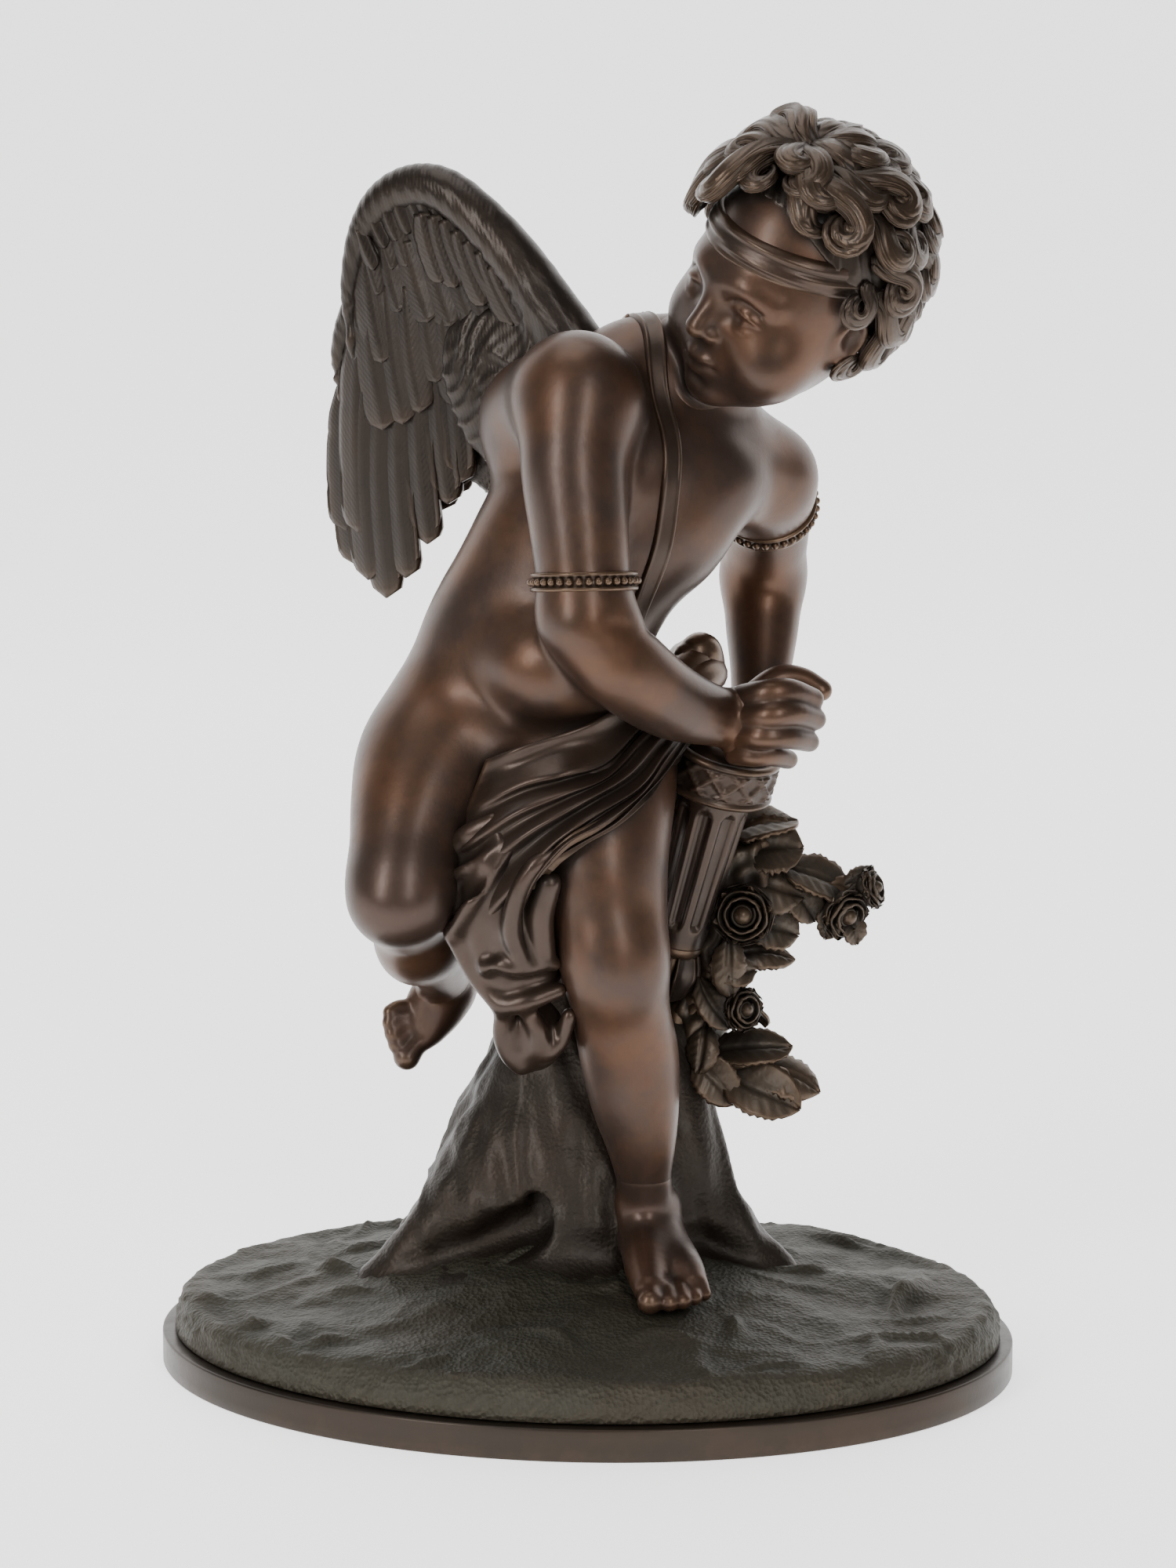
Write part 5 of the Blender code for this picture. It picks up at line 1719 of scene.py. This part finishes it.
@dataclass
class Strap:
    """The quiver's flat strap, laid over the right shoulder to the left hip, front and back."""

    body: Clay
    half: float = 3.7
    thick: float = 1.3
    front: Sequence[Station] = (
        (17, 8, 360), (23, -10, 358), (27, -30, 343), (31, -38, 322), (31, -42, 305), (29, -42, 284),
        (25, -42, 266), (20, -40, 250), (16, -38, 238))
    rear: Sequence[Station] = (
        (17, 8, 360), (13, 22, 352), (12, 34, 334), (17, 38, 310), (20, 38, 286), (22, 38, 262),
        (26, 38, 240))

    def make(self) -> None:
        """Makes both halves of the strap."""
        mould = Mould()
        for line, way, centre in ((self.front, (0.25, -0.9, 0.25), (20, 0, 318)),
                                  (self.rear, (0, 0.95, 0.2), (18, 2, 318))):
            path = even(spline(line, 10), 90)
            out = units(0.55 * units((path - centre) * (1, 1, 1.2)) + 0.6 * unit(way))
            _, side, _ = frames(path, out)
            c = np.linspace(-1, 1, 15)
            guide = path[:, None] + side[:, None] * (c * self.half)[None, :, None]
            ways = np.broadcast_to(out[:, None], guide.shape)
            laid = self.body.settle(guide.reshape(-1, 3), ways.reshape(-1, 3)).reshape(guide.shape)
            lip = 0.5 * np.exp(-((np.abs(c) - 0.78) / 0.12) ** 2) + 0.9 * (1 - np.abs(c) ** 8)
            face = laid + ways * (self.thick * lip)[None, :, None]
            back = laid - ways * 1.2
            mould.sheet(face[:, ::-1], back[:, ::-1])
        mould.piece("strap", CLOTH)


@dataclass
class ArmRing:
    """A band round the upper arm: two plain rims with a row of beads between."""

    name: str
    middle: Station
    axis: Station
    radius: float
    width: float = 6.4
    beads: int = 34

    def make(self) -> None:
        """Makes band and beads."""
        mould = Mould()
        axis = unit(self.axis)
        side = unit(np.cross((0, -1, 0), axis))
        over = np.cross(axis, side)
        profile = (
            (-1.0, -2.5), (-1.0, 0.9), (-0.9, 1.5), (-0.62, 1.5), (-0.52, 0.7), (0.52, 0.7), (0.62, 1.5),
            (0.9, 1.5), (1.0, 0.9), (1.0, -2.5))
        turns = np.arange(72) * 2 * math.pi / 72
        rings = []
        for a in turns:
            out = spoke(side, over, a)
            rings.append([np.asarray(self.middle) + axis * level * self.width / 2 + out * (self.radius + lift)
                          for level, lift in profile])
        mould.hoop(np.array(rings)[:, ::-1])
        for i in range(self.beads):
            a = i * 2 * math.pi / self.beads
            out = spoke(side, over, a)
            mould.bead(np.asarray(self.middle) + out * (self.radius + 1.3), 1.35)
        mould.piece(self.name, TRIM)


@dataclass
class Quiver:
    """A tapering quiver with round-ended flutes, a latticed band at its mouth and a leafy foot."""

    top: Station = (49.0, -5.0, 209.0)
    tip: Station = (27.0, 13.0, 121.0)
    radii: tuple[float, float] = (13.7, 9.6)
    band_radius: float = 18.8
    band_height: float = 15.0
    flutes: int = 9

    def make(self) -> None:
        """Makes the body, band, ring and foot."""
        top, tip = np.asarray(self.top), np.asarray(self.tip)
        length = np.linalg.norm(tip - top)
        axis = unit(tip - top)
        side = unit(np.cross(axis, (0.35, -1, 0)))
        over = np.cross(axis, side)
        mould = Mould()
        around = 108
        turn = np.arange(around) * 2 * math.pi / around

        def ring(t: float, radius: Array | float) -> Array:
            """A ring round the quiver, at a share of its length.

            Args:
                t: Share of the length from the mouth.
                radius: One radius, or one for each point.

            Returns:
                The ring's points.
            """
            place = top + axis * t * length
            radius = np.broadcast_to(radius, turn.shape)
            return place + (radius * np.cos(turn))[:, None] * side + (radius * np.sin(turn))[:, None] * over

        rings = []
        for t in np.linspace(0.0, 0.80, 64):
            radius = self.radii[0] + (self.radii[1] - self.radii[0]) * t
            phase = ((turn * self.flutes / (2 * math.pi)) % 1 - 0.5) * 2
            ends = min(t - 0.215, 0.71 - t) / 0.03
            cover = np.clip(1 - (phase / 0.54) ** 2, 0, 1) if ends > 1 else np.clip(
                1 - (phase / 0.54) ** 2 - (1 - max(ends, -1)) ** 2, 0, 1)
            rings.append(ring(t, radius - 1.9 * np.clip(cover * 3, 0, 1) ** 0.5))
        mould.rings(np.array(rings))
        rings = []
        for scale, level in self._band_profile():
            radius = self.band_radius * scale
            lattice = 0.0
            if 0.17 < level < 0.81:
                a, b = turn * 12 / (2 * math.pi) + level * 1.5, turn * 12 / (2 * math.pi) - level * 1.5
                lattice = 1.3 * np.maximum(np.exp(-((a % 1 - 0.5) / 0.11) ** 2),
                                           np.exp(-((b % 1 - 0.5) / 0.11) ** 2))
            rings.append(ring(level * self.band_height / length, radius + lattice - 0.4))
        mould.hoop(np.array(rings))
        inside = self.band_radius * 0.9
        mould.rings(np.array([ring(0.07, 3), ring(0.07, inside), ring(0.09, inside), ring(0.09, 3)]))
        mould.rings(np.array([ring(0.765 + 0.018 * i, r) for i,
                              r in enumerate((9.0, 10.2, 10.6, 10.4, 9.4))]))
        foot = [ring(t, r) for t, r in ((0.79, 8.6), (0.88, 8.6), (0.96, 7.4), (1.02, 5.0), (1.05, 2.0))]
        mould.rings(np.array(foot))
        for i in range(7):
            a = i * 2 * math.pi / 7
            out = spoke(side, over, a)
            base = top + axis * length * 0.83
            path = spline([base + out * 8.6, base + axis * 7 + out * 10.0, base + axis * 14 + out * 8.8,
                           base + axis * 19 + out * 6.4], 6)
            half = np.interp(np.linspace(0, 1, len(path)), (0, 0.35, 0.8, 1), (3.4, 4.4, 2.6, 0.3))
            blade(mould, path, out, half, 1.4, 0.5)
        mould.piece("quiver", TRIM)

    def _band_profile(self) -> list[tuple[float, float]]:
        """Radius share and level round the band's section, from inside the mouth over the rim and down.

        Returns:
            Pairs of a share of the band's radius and a share of its height.
        """
        inside = [(0.80, 0.55), (0.82, 0.10), (0.90, -0.05)]
        rim = [(1.02, -0.04), (1.05, 0.02), (1.05, 0.08), (1.0, 0.12), (0.985, 0.165)]
        wall = [(0.985, level) for level in np.linspace(0.18, 0.80, 15)]
        foot = [(0.985, 0.815), (1.0, 0.86), (1.05, 0.90), (1.05, 0.96), (1.0, 1.02), (0.86, 1.07),
                (0.7, 1.08)]
        return inside + rim + wall + foot


def spoke(side: Array, over: Array, angle: float) -> Array:
    """The direction at an angle from one axis towards another."""
    return math.cos(angle) * side + math.sin(angle) * over


def blade(mould: Mould, path: Array, toward: Station | Array, half: Array, thick: float, cup: float = 0.0,
          veins: float = 0.0, teeth: int = 0, columns: int = 13) -> None:
    """Adds a leaf or petal.

    Args:
        mould: What it goes into.
        path: Points of its midrib.
        toward: Where its face looks.
        half: Half its width along the midrib.
        thick: Its thickness.
        cup: How far its edges rise, as a share of the half width.
        veins: Height of its midrib and side veins.
        teeth: Number of teeth along each edge.
        columns: Points across.
    """
    s = np.linspace(0, 1, len(path))[:, None]
    c = np.linspace(-1, 1, columns)[None]
    _, side, up = frames(path, toward)
    saw = 1 + (0.16 * ((s * teeth) % 1 - 0.5) * (np.abs(c) > 0.9) if teeth else 0)
    wide = half[:, None] * saw
    rise = cup * half[:, None] * c ** 2
    if veins:
        rise = rise - veins * 1.4 * np.exp(-(c / 0.08) ** 2)
        rise = rise + veins * np.abs(((s * 7 - np.abs(c) * 1.6) % 1) - 0.5) * 2 * np.sin(math.pi * np.abs(c))
    front = path[:, None] + (wide * c)[..., None] * side[:, None] + rise[..., None] * up[:, None]
    rear = front - thick * up[:, None] * np.ones_like(c)[..., None]
    grain = np.stack(np.broadcast_arrays(s * 30, wide * c, 0.0), -1)
    mould.sheet(front[:, ::-1], rear[:, ::-1], grain[:, ::-1])


def rise(x: Array, y: Array) -> Array:
    """Height of the ground away from its edge, over the group's underside.

    Args:
        x: Towards the viewer's right.
        y: Towards the back.

    Returns:
        The height at each place.
    """
    swell = 12.0 + 19.0 * np.exp(-((x / 80) ** 2 + ((y + 6) / 66) ** 2))
    swell = swell + 8.0 * np.exp(-(((x + 14) / 46) ** 2 + ((y - 12) / 36) ** 2))
    return swell + 0.8 * np.sin(x / 13 + 0.6 * np.sin(y / 9)) * np.sin(y / 11 + 1)


@dataclass
class Stump:
    """The tree stump with its spreading roots."""

    step: float = 1.85

    def make(self) -> None:
        """Makes the trunk and roots as one piece that runs out into the ground."""
        clay = Clay((-90, -40, 14), (84, 100, 200), self.step)
        clay.chain(((6, 32, 190, 24), (6, 31, 150, 26.5), (4, 28, 110, 31), (1, 26, 84, 36),
                    (-2, 25, 62, 43), (-4, 24, 44, 50)), 3)
        clay.chain(((-12, 10, 92, 15), (-26, 6, 66, 15), (-42, 2, 46, 14), (-58, 0, 31, 10),
                    (-74, 0, 18, 6)), 16)
        clay.chain(((-5, -3, 74, 9), (-8, -10, 52, 7), (-10, -16, 36, 6.5), (-11, -22, 20, 5)), 7)
        clay.chain(((30, 14, 96, 12), (38, 10, 64, 10), (48, 8, 40, 9), (68, 8, 20, 6)), 12)
        clay.chain(((0, 50, 90, 16), (2, 64, 56, 14), (4, 84, 28, 9)), 12)
        clay.chain(((-24, 34, 66, 14), (-44, 44, 40, 10), (-62, 54, 20, 6)), 16)
        clay.chain(((-52, -14, 26, 5), (-40, -17, 31, 8), (-28, -19, 35, 10.5), (-19, -17, 42, 9),
                    (-14, -14, 52, 5)), 5, cut=True)
        clay.slab(lambda x, y: rise(x, y) - 0.35 - 0.004 * ((x / 10) ** 4 + ((y - 20) / 9) ** 4) * 0.25, 9)
        points, quads = clay.skin()
        x, y, z = points.T
        turn = np.arctan2(y - 28, x - 2)
        high = np.clip((z - rise(x, y) - 1.0) / 10, 0, 1)
        warp = ripple(points * (1, 1, 0.35), 26, 11)
        ridges = 1 - np.abs(np.sin(turn * 5 + 0.02 * z + 1.2 * warp)) * 1.6
        fine = 1 - np.abs(np.sin(turn * 13 + 0.03 * z + 1.6 * warp)) * 1.5
        lumps = ripple(points * (1, 1, 0.5), 12, 12)
        push = high * (0.8 * ridges + 0.22 * fine + 0.45 * lumps)
        points = points + units(clay.slope(points)) * push[:, None]
        mould = Mould()
        mould.shell(points, quads)
        mould.piece("stump", BARK)


@dataclass
class RoseBush:
    """Rose stems, flowers, buds and leaves on the right side of the stump.

    Attributes:
        stems: Stations of each stem.
        flowers: Middle, radius and facing of each flower.
        leaves: Base, tip, half width and facing of each leaf.
    """

    stems: Sequence[Sequence[Station]] = (
        ((22, 16, 96, 4.6), (34, 12, 112, 4.2), (46, 10, 130, 3.8), (56, 10, 148, 4.6), (70, 14, 157, 4.4),
         (90, 17, 153, 3.4)),
        ((30, 18, 84, 4.6), (42, 12, 92, 3.6), (54, 8, 94, 3.0), (70, 8, 90, 2.2)),
        ((40, 14, 150, 5), (52, 14, 164, 4), (62, 14, 172, 3)),
        ((30, 12, 108, 5), (44, 10, 116, 3.6), (55, 6, 116, 3)),
        ((70, 14, 157, 3.6), (86, 18, 157, 3.0), (98, 20, 155, 2.4)))
    flowers: Sequence[tuple[Station, float, Station]] = (
        ((55, 2, 149), 7.8, (-0.1, -1.0, 0.15)), ((91, 13, 147), 6.8, (0.5, -0.7, -0.25)),
        ((100.5, 18, 155), 5.4, (0.9, -0.35, 0.3)), ((55, 3, 115), 5.8, (0.6, -0.8, 0.1)))
    leaves: Sequence[tuple[Station, Station, float, Station]] = (
        ((54, 12, 168), (76, 13, 172), 11.5, (-0.2, -0.8, 0.55)),
        ((50, 14, 174), (74, 19, 181), 10.5, (-0.2, -0.5, 0.8)),
        ((54, 10, 160), (77, 9, 155), 10, (0.1, -0.8, 0.6)),
        ((68, 14, 164), (94, 16, 154), 9.5, (0.3, -0.5, 0.8)),
        ((56, 9, 148), (75, 10, 139), 8.5, (0.2, -0.9, 0.2)),
        ((50, 8, 134), (74, 12, 131), 6.5, (0.1, -0.7, 0.6)),
        ((84, 14, 152), (85, 11, 138), 4.8, (0.2, -1.0, 0.1)),
        ((70, 12, 156), (82, 10, 146), 7, (0.3, -0.9, 0.4)),
        ((49, 1, 142), (52, -2, 120), 6.5, (0.0, -1.0, 0.2)),
        ((42, 9, 98), (73, 7, 101), 8, (0.0, -0.7, 0.7)),
        ((48, 7, 92), (75, 1, 79), 10.5, (-0.1, -0.8, 0.6)),
        ((60, 9, 93), (83, 8, 84), 9.5, (0.2, -0.6, 0.7)), ((38, 5, 97), (52, 1, 81), 8, (-0.2, -0.9, 0.3)),
        ((89, 15, 147), (97, 13, 136), 4.8, (0.4, -0.8, 0.0)),
        ((48, 22, 150), (70, 34, 160), 9, (0.2, 0.5, 0.8)),
        ((44, 26, 132), (62, 42, 122), 8, (0.4, 0.7, 0.4)),
        ((40, 6, 126), (50, -1, 108), 6, (0.1, -1, 0.1)), ((44, 8, 110), (38, 0, 92), 6, (-0.1, -1, 0.1)),
        ((60, 4, 128), (47, -1, 131), 5.5, (-0.1, -1, 0.2)),
        ((44, 20, 112), (66, 26, 106), 8, (0.4, 0.2, 0.8)),
        ((90, 17, 152), (101, 20, 164), 4.2, (0.2, -0.8, 0.5)))

    def leaf(self, mould: Mould, base: Station, tip: Station, wide: float, toward: Station,
             seed: int) -> None:
        """Adds a toothed, veined leaf that bows and twists.

        Args:
            mould: What it goes into.
            base: Where it starts.
            tip: Where it ends.
            wide: Half its width.
            toward: Where its face looks.
            seed: Sets its twist.
        """
        base, tip, way = np.asarray(base, float), np.asarray(tip, float), unit(toward)
        s = np.linspace(0, 1, 24)
        length = np.linalg.norm(tip - base)
        path = base + (tip - base) * s[:, None] + way * (2.6 * np.sin(math.pi * s) - 2.0 * s ** 3)[:, None]
        side = unit(np.cross(way, tip - base))
        path = path + side * (0.9 * np.sin(s * 4 + seed))[:, None]
        half = wide * np.interp(s, (0, 0.06, 0.22, 0.48, 0.76, 0.93, 1),
                                (0.1, 0.26, 0.8, 1.0, 0.86, 0.46, 0.06))
        twist = way + side * (0.25 * np.sin(seed * 1.7) * s)[:, None]
        blade(mould, path, twist, half, 1.3, 0.22 * math.sin(seed * 2.1 + 0.5), 0.75, int(length / 2.6), 13)

    @staticmethod
    def petal(middle: Array, facing: Array, out: Array, radius: float, places: Sequence[Station]) -> Array:
        """The midrib of a petal, through places ahead and aside of the flower's middle, in radii."""
        return spline([middle + facing * radius * ahead + out * radius * aside for ahead, aside in places],
                      5)

    def flower(self, mould: Mould, middle: Station, radius: float, facing: Station) -> None:
        """Adds a half-open rose: a rolled heart inside cupped petals, with a calyx.

        Args:
            mould: What it goes into.
            middle: Its middle.
            radius: Its radius.
            facing: Where it looks.
        """
        middle, facing = np.asarray(middle, float), unit(facing)
        side = unit(np.cross(facing, (0.1, 0.2, 1.0)))
        over = np.cross(facing, side)
        heart = [np.append(middle + facing * radius * t, radius * r)
                 for t, r in ((-0.9, 0.3), (-0.5, 0.55), (0.0, 0.6), (0.4, 0.42))]
        mould.tube(np.array(heart), 16, side)
        turn = np.linspace(0, 5.2 * math.pi, 90)
        swirl = np.stack([middle + facing * radius * (0.52 - 0.012 * a)
                          + radius * (0.08 + 0.030 * a) * spoke(side, over, a) for a in turn])
        mould.tube(np.column_stack([swirl, np.full(len(swirl), radius * 0.085)]), 8, facing)
        for ring, (count, reach, high) in enumerate(((4, 0.66, 0.62), (5, 0.92, 0.42), (6, 1.12, 0.12))):
            for i in range(count):
                a = (i + ring * 0.45) * 2 * math.pi / count + ring
                out = spoke(side, over, a)
                path = self.petal(middle, facing, out, radius,
                                  ((-0.95, 0.2), (-0.45, reach * 0.85), (high * 0.5, reach),
                                   (high, reach + 0.1 + 0.08 * ring)))
                half = radius * np.interp(np.linspace(0, 1, len(path)), (0, 0.35, 0.75, 0.95, 1),
                                          (0.2, 0.6, 0.74, 0.5, 0.3))
                blade(mould, path, -out, half, 0.9, 0.42, columns=9)
        for i in range(5):
            a = i * 2 * math.pi / 5 + 0.4
            out = spoke(side, over, a)
            path = self.petal(middle, facing, out, radius, ((-1.05, 0.0), (-0.9, 0.8), (-0.7, 1.45)))
            half = radius * np.interp(np.linspace(0, 1, len(path)), (0, 0.4, 1), (0.2, 0.28, 0.03))
            blade(mould, path, -out, half, 0.9, 0.1, columns=7)

    def make(self) -> None:
        """Makes stems, flowers and leaves."""
        mould = Mould()
        for stem in self.stems:
            mould.tube(even(spline(stem, 8), 30), 12, shape=lambda turn,
                       share: 1 + 0.12 * np.sin(share * 30 + turn * 2))
        for values in self.flowers:
            self.flower(mould, *values)
        for i, values in enumerate(self.leaves):
            self.leaf(mould, *values, seed=i)
        clay = Clay((24, -4, 70), (78, 36, 184), 1.3)
        clay.ball((44, 17, 142), (11, 11, 26), 2)
        clay.ball((56, 17, 160), (14, 10, 15), 6)
        clay.ball((38, 17, 104), (11, 11, 24), 4)
        points, quads = clay.skin()
        mould.shell(points + units(clay.slope(points)) * ripple(points, 9, 21)[:, None] * 1.2, quads)
        mould.piece("rose_bush", LEAFY)


@dataclass
class Oval:
    """The outline that plinth and ground share."""

    length: float = 302.0
    width: float = 227.0
    turn: float = math.radians(-7)

    def ring(self, inset: float, around: int, scale: float = 1.0) -> Array:
        """Points of the outline, drawn in by the inset and then scaled.

        Args:
            inset: How far it is drawn in.
            around: How many points.
            scale: Factor after that.

        Returns:
            Rows of x and y.
        """
        a = np.arange(around) * 2 * math.pi / around
        x, y = (self.length / 2 - inset) * scale * np.cos(a), (self.width / 2 - inset) * scale * np.sin(a)
        c, s = math.cos(self.turn), math.sin(self.turn)
        return np.stack([x * c - y * s, x * s + y * c], 1)


@dataclass
class Ground:
    """The earth mound with its steep tooled edge."""

    oval: Oval
    ledge: float = 4.5
    edge: float = 10.5
    around: int = 300

    def make(self) -> None:
        """Makes the mound."""
        rings = []
        for inset, level, top in ((1, 0.0, 0), (0, 0.3, 0), (0, 2.5, 0), (0.1, 5.0, 0), (0.5, 7.0, 0),
                                  (1.2, 8.8, 0),
                                  (2.2, self.edge, 0.1), (3.6, self.edge + 1.2, 0.4),
                                  (5.4, self.edge + 1.8, 0.8)):
            xy = self.oval.ring(self.ledge + inset, self.around)
            rings.append(np.column_stack([xy, level + top * (rise(*xy.T) - level)]))
        for scale in np.linspace(0.93, 0.03, 66):
            xy = self.oval.ring(self.ledge, self.around, scale)
            rings.append(np.column_stack([xy, rise(*xy.T)]))
        rings = np.array(rings)
        flat = rings.reshape(-1, 3)
        out = units(flat * (1, 1, 0))
        edge = (np.repeat(np.arange(len(rings)), self.around) < 9).astype(float)
        inner = 1 - edge
        on = (flat[:, 2] > 0.6).astype(float)
        rough = 0.30 * ripple(flat, 11, 31) + 0.16 * ripple(flat, 4.5, 32) + 1.5 * ripple(flat, 42, 33)
        warped = flat + 6 * np.stack([ripple(flat, 50, 39), ripple(flat, 50, 40), 0 * flat[:, 0]], 1)
        strokes = (np.maximum(ripple(warped * (0.3, 1, 1), 12, 34), 0) ** 2 * 0.7
                   + np.maximum(ripple(warped * (1, 0.35, 1), 13, 35), 0) ** 2 * 0.5)
        tooled = 0.45 * ripple(flat, 7, 36) + 0.3 * ripple(flat, 3.5, 37) - 0.5
        flat = flat + out * (edge * on * tooled)[:, None]
        chips = edge * 0.3 * ripple(flat, 8, 38) * (flat[:, 2] > 3)
        flat[:, 2] += on * (inner * (0.7 * rough + strokes - 0.5) + chips)
        mould = Mould()
        mould.rings(flat.reshape(rings.shape))
        mould.piece("ground", EARTH)


@dataclass
class Plinth:
    """The smooth oval plinth."""

    oval: Oval
    height: float = 11.5

    def make(self) -> None:
        """Makes the plinth in place of its plain solid."""
        rings = []
        for inset, level in ((2, 0), (0.8, 0), (0.25, 0.12), (0.0, 0.5), (0.0, 4), (0.0, 8), (0.0, 10.7),
                             (0.1, 11.1), (0.35, 11.4),
                             (0.8, 11.5), (3.5, 11.5), (4.6, 11.45), (7, 11.4), (12, 11.4)):
            xy = self.oval.ring(inset, 360)
            rings.append(np.column_stack([xy, np.full(360, level - SEAT)]))
        mould = Mould()
        mould.rings(np.array(rings))
        made = mould.piece("oval_plinth", RIM)
        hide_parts("plinth")


@dataclass
class Studio:
    """Camera, lights, pale floor and backdrop."""

    eye: Station = (0.0008, -1.6, 0.51)
    pitch: float = 10.7
    lens: float = 107.7

    def make(self) -> None:
        """Sets the stage."""
        self.floor()
        self.camera()
        self.lamp("key", (-1.16, -1.38, 0.85), (0.0, 0.0, 0.25), (0.36, 1.3), 20)
        self.lamp("fill", (0.55, -1.62, 0.85), (0.0, 0.0, 0.25), (0.3, 1.3), 12)
        self.lamp("top", (-0.2, 0.1, 1.7), (0.0, 0.0, 0.2), (1.2, 1.0), 9)
        world = bpy.data.worlds.new("studio_air")
        bpy.context.scene.world = world
        world.use_nodes = True
        world.node_tree.nodes["Background"].inputs[0].default_value = (1, 1, 1, 1)
        world.node_tree.nodes["Background"].inputs[1].default_value = 0.2

    def floor(self) -> None:
        """A pale sweep that curves up behind the object."""
        bpy.ops.object.select_all(action="DESELECT")
        bpy.ops.mesh.primitive_plane_add(size=1, location=(0, 0, 0))
        sweep = bpy.context.object
        sweep.name = "sweep"
        profile = [(-0.5, 0.0), (1.4, 0.0)]
        curve = np.linspace(0.1, math.pi / 2, 14)
        profile += [(1.4 + 0.9 * math.sin(a), 0.9 - 0.9 * math.cos(a)) for a in curve]
        profile += [(2.3, 4.0)]
        points = [(x, y, z) for x in (-5.0, 5.0) for y, z in profile]
        n = len(profile)
        faces = [(i, i + n, i + n + 1, i + 1) for i in range(n - 1)]
        sweep.data.clear_geometry()
        sweep.data.from_pydata(points, [], faces)
        sweep.data.polygons.foreach_set("use_smooth", [True] * (n - 1))
        graph = Graph("paper")
        graph.shader.inputs["Base Color"].default_value = (0.93, 0.93, 0.93, 1)
        graph.shader.inputs["Roughness"].default_value = 0.7
        graph.shader.inputs["Emission Color"].default_value = (1, 1, 1, 1)
        graph.shader.inputs["Emission Strength"].default_value = 1.5
        sweep.data.materials.append(graph.material)

    def camera(self) -> None:
        """The camera at the photograph's viewing angle."""
        data = bpy.data.cameras.new("view")
        data.lens = self.lens
        data.sensor_width = 36.0
        data.clip_start = 0.05
        camera = bpy.data.objects.new("view", data)
        camera.location = self.eye
        camera.rotation_euler = (math.radians(90 - self.pitch), 0, 0)
        bpy.context.collection.objects.link(camera)
        bpy.context.scene.camera = camera

    def lamp(self, name: str, place: Station, aim: Station, size: tuple[float, float], power: float) -> None:
        """A soft box that looks at a point.

        Args:
            name: Its name.
            place: Where it stands.
            aim: Where it looks.
            size: Width and height.
            power: In watts.
        """
        data = bpy.data.lights.new(name, "AREA")
        data.shape = "RECTANGLE"
        data.size, data.size_y = size
        data.energy = power
        lamp = bpy.data.objects.new(name, data)
        lamp.location = place
        lamp.rotation_euler = (Vector(aim) - Vector(place)).to_track_quat("-Z", "Y").to_euler()
        bpy.context.collection.objects.link(lamp)


def main() -> None:
    """Builds the sub-assemblies in order."""
    logging.basicConfig(level=logging.INFO, format="%(message)s")
    oval, head, figure = Oval(), Head(), Figure()
    Plinth(oval).make()
    Ground(oval).make()
    Stump().make()
    body = figure.make()
    head.make(figure)
    Hair(head).make()
    Blindfold(head).make()
    Wing("right_wing", (-9, 15, 351), 159).make()
    Wing("left_wing", (-9, 34, 331), 166, 1.0, 0.74).make()
    Drapery().make()
    Strap(body).make()
    ArmRing("right_arm_ring", (-0.5, -49.5, 274), (0.02, -0.14, -1.0), 16.6).make()
    ArmRing("left_arm_ring", (63.5, 39, 288.5), (0.05, 0.75, -0.66), 16.4).make()
    Quiver().make()
    RoseBush().make()
    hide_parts("cupid_group")
    Patina.settle()
    Studio().make()


if __name__ == "__main__":
    main()
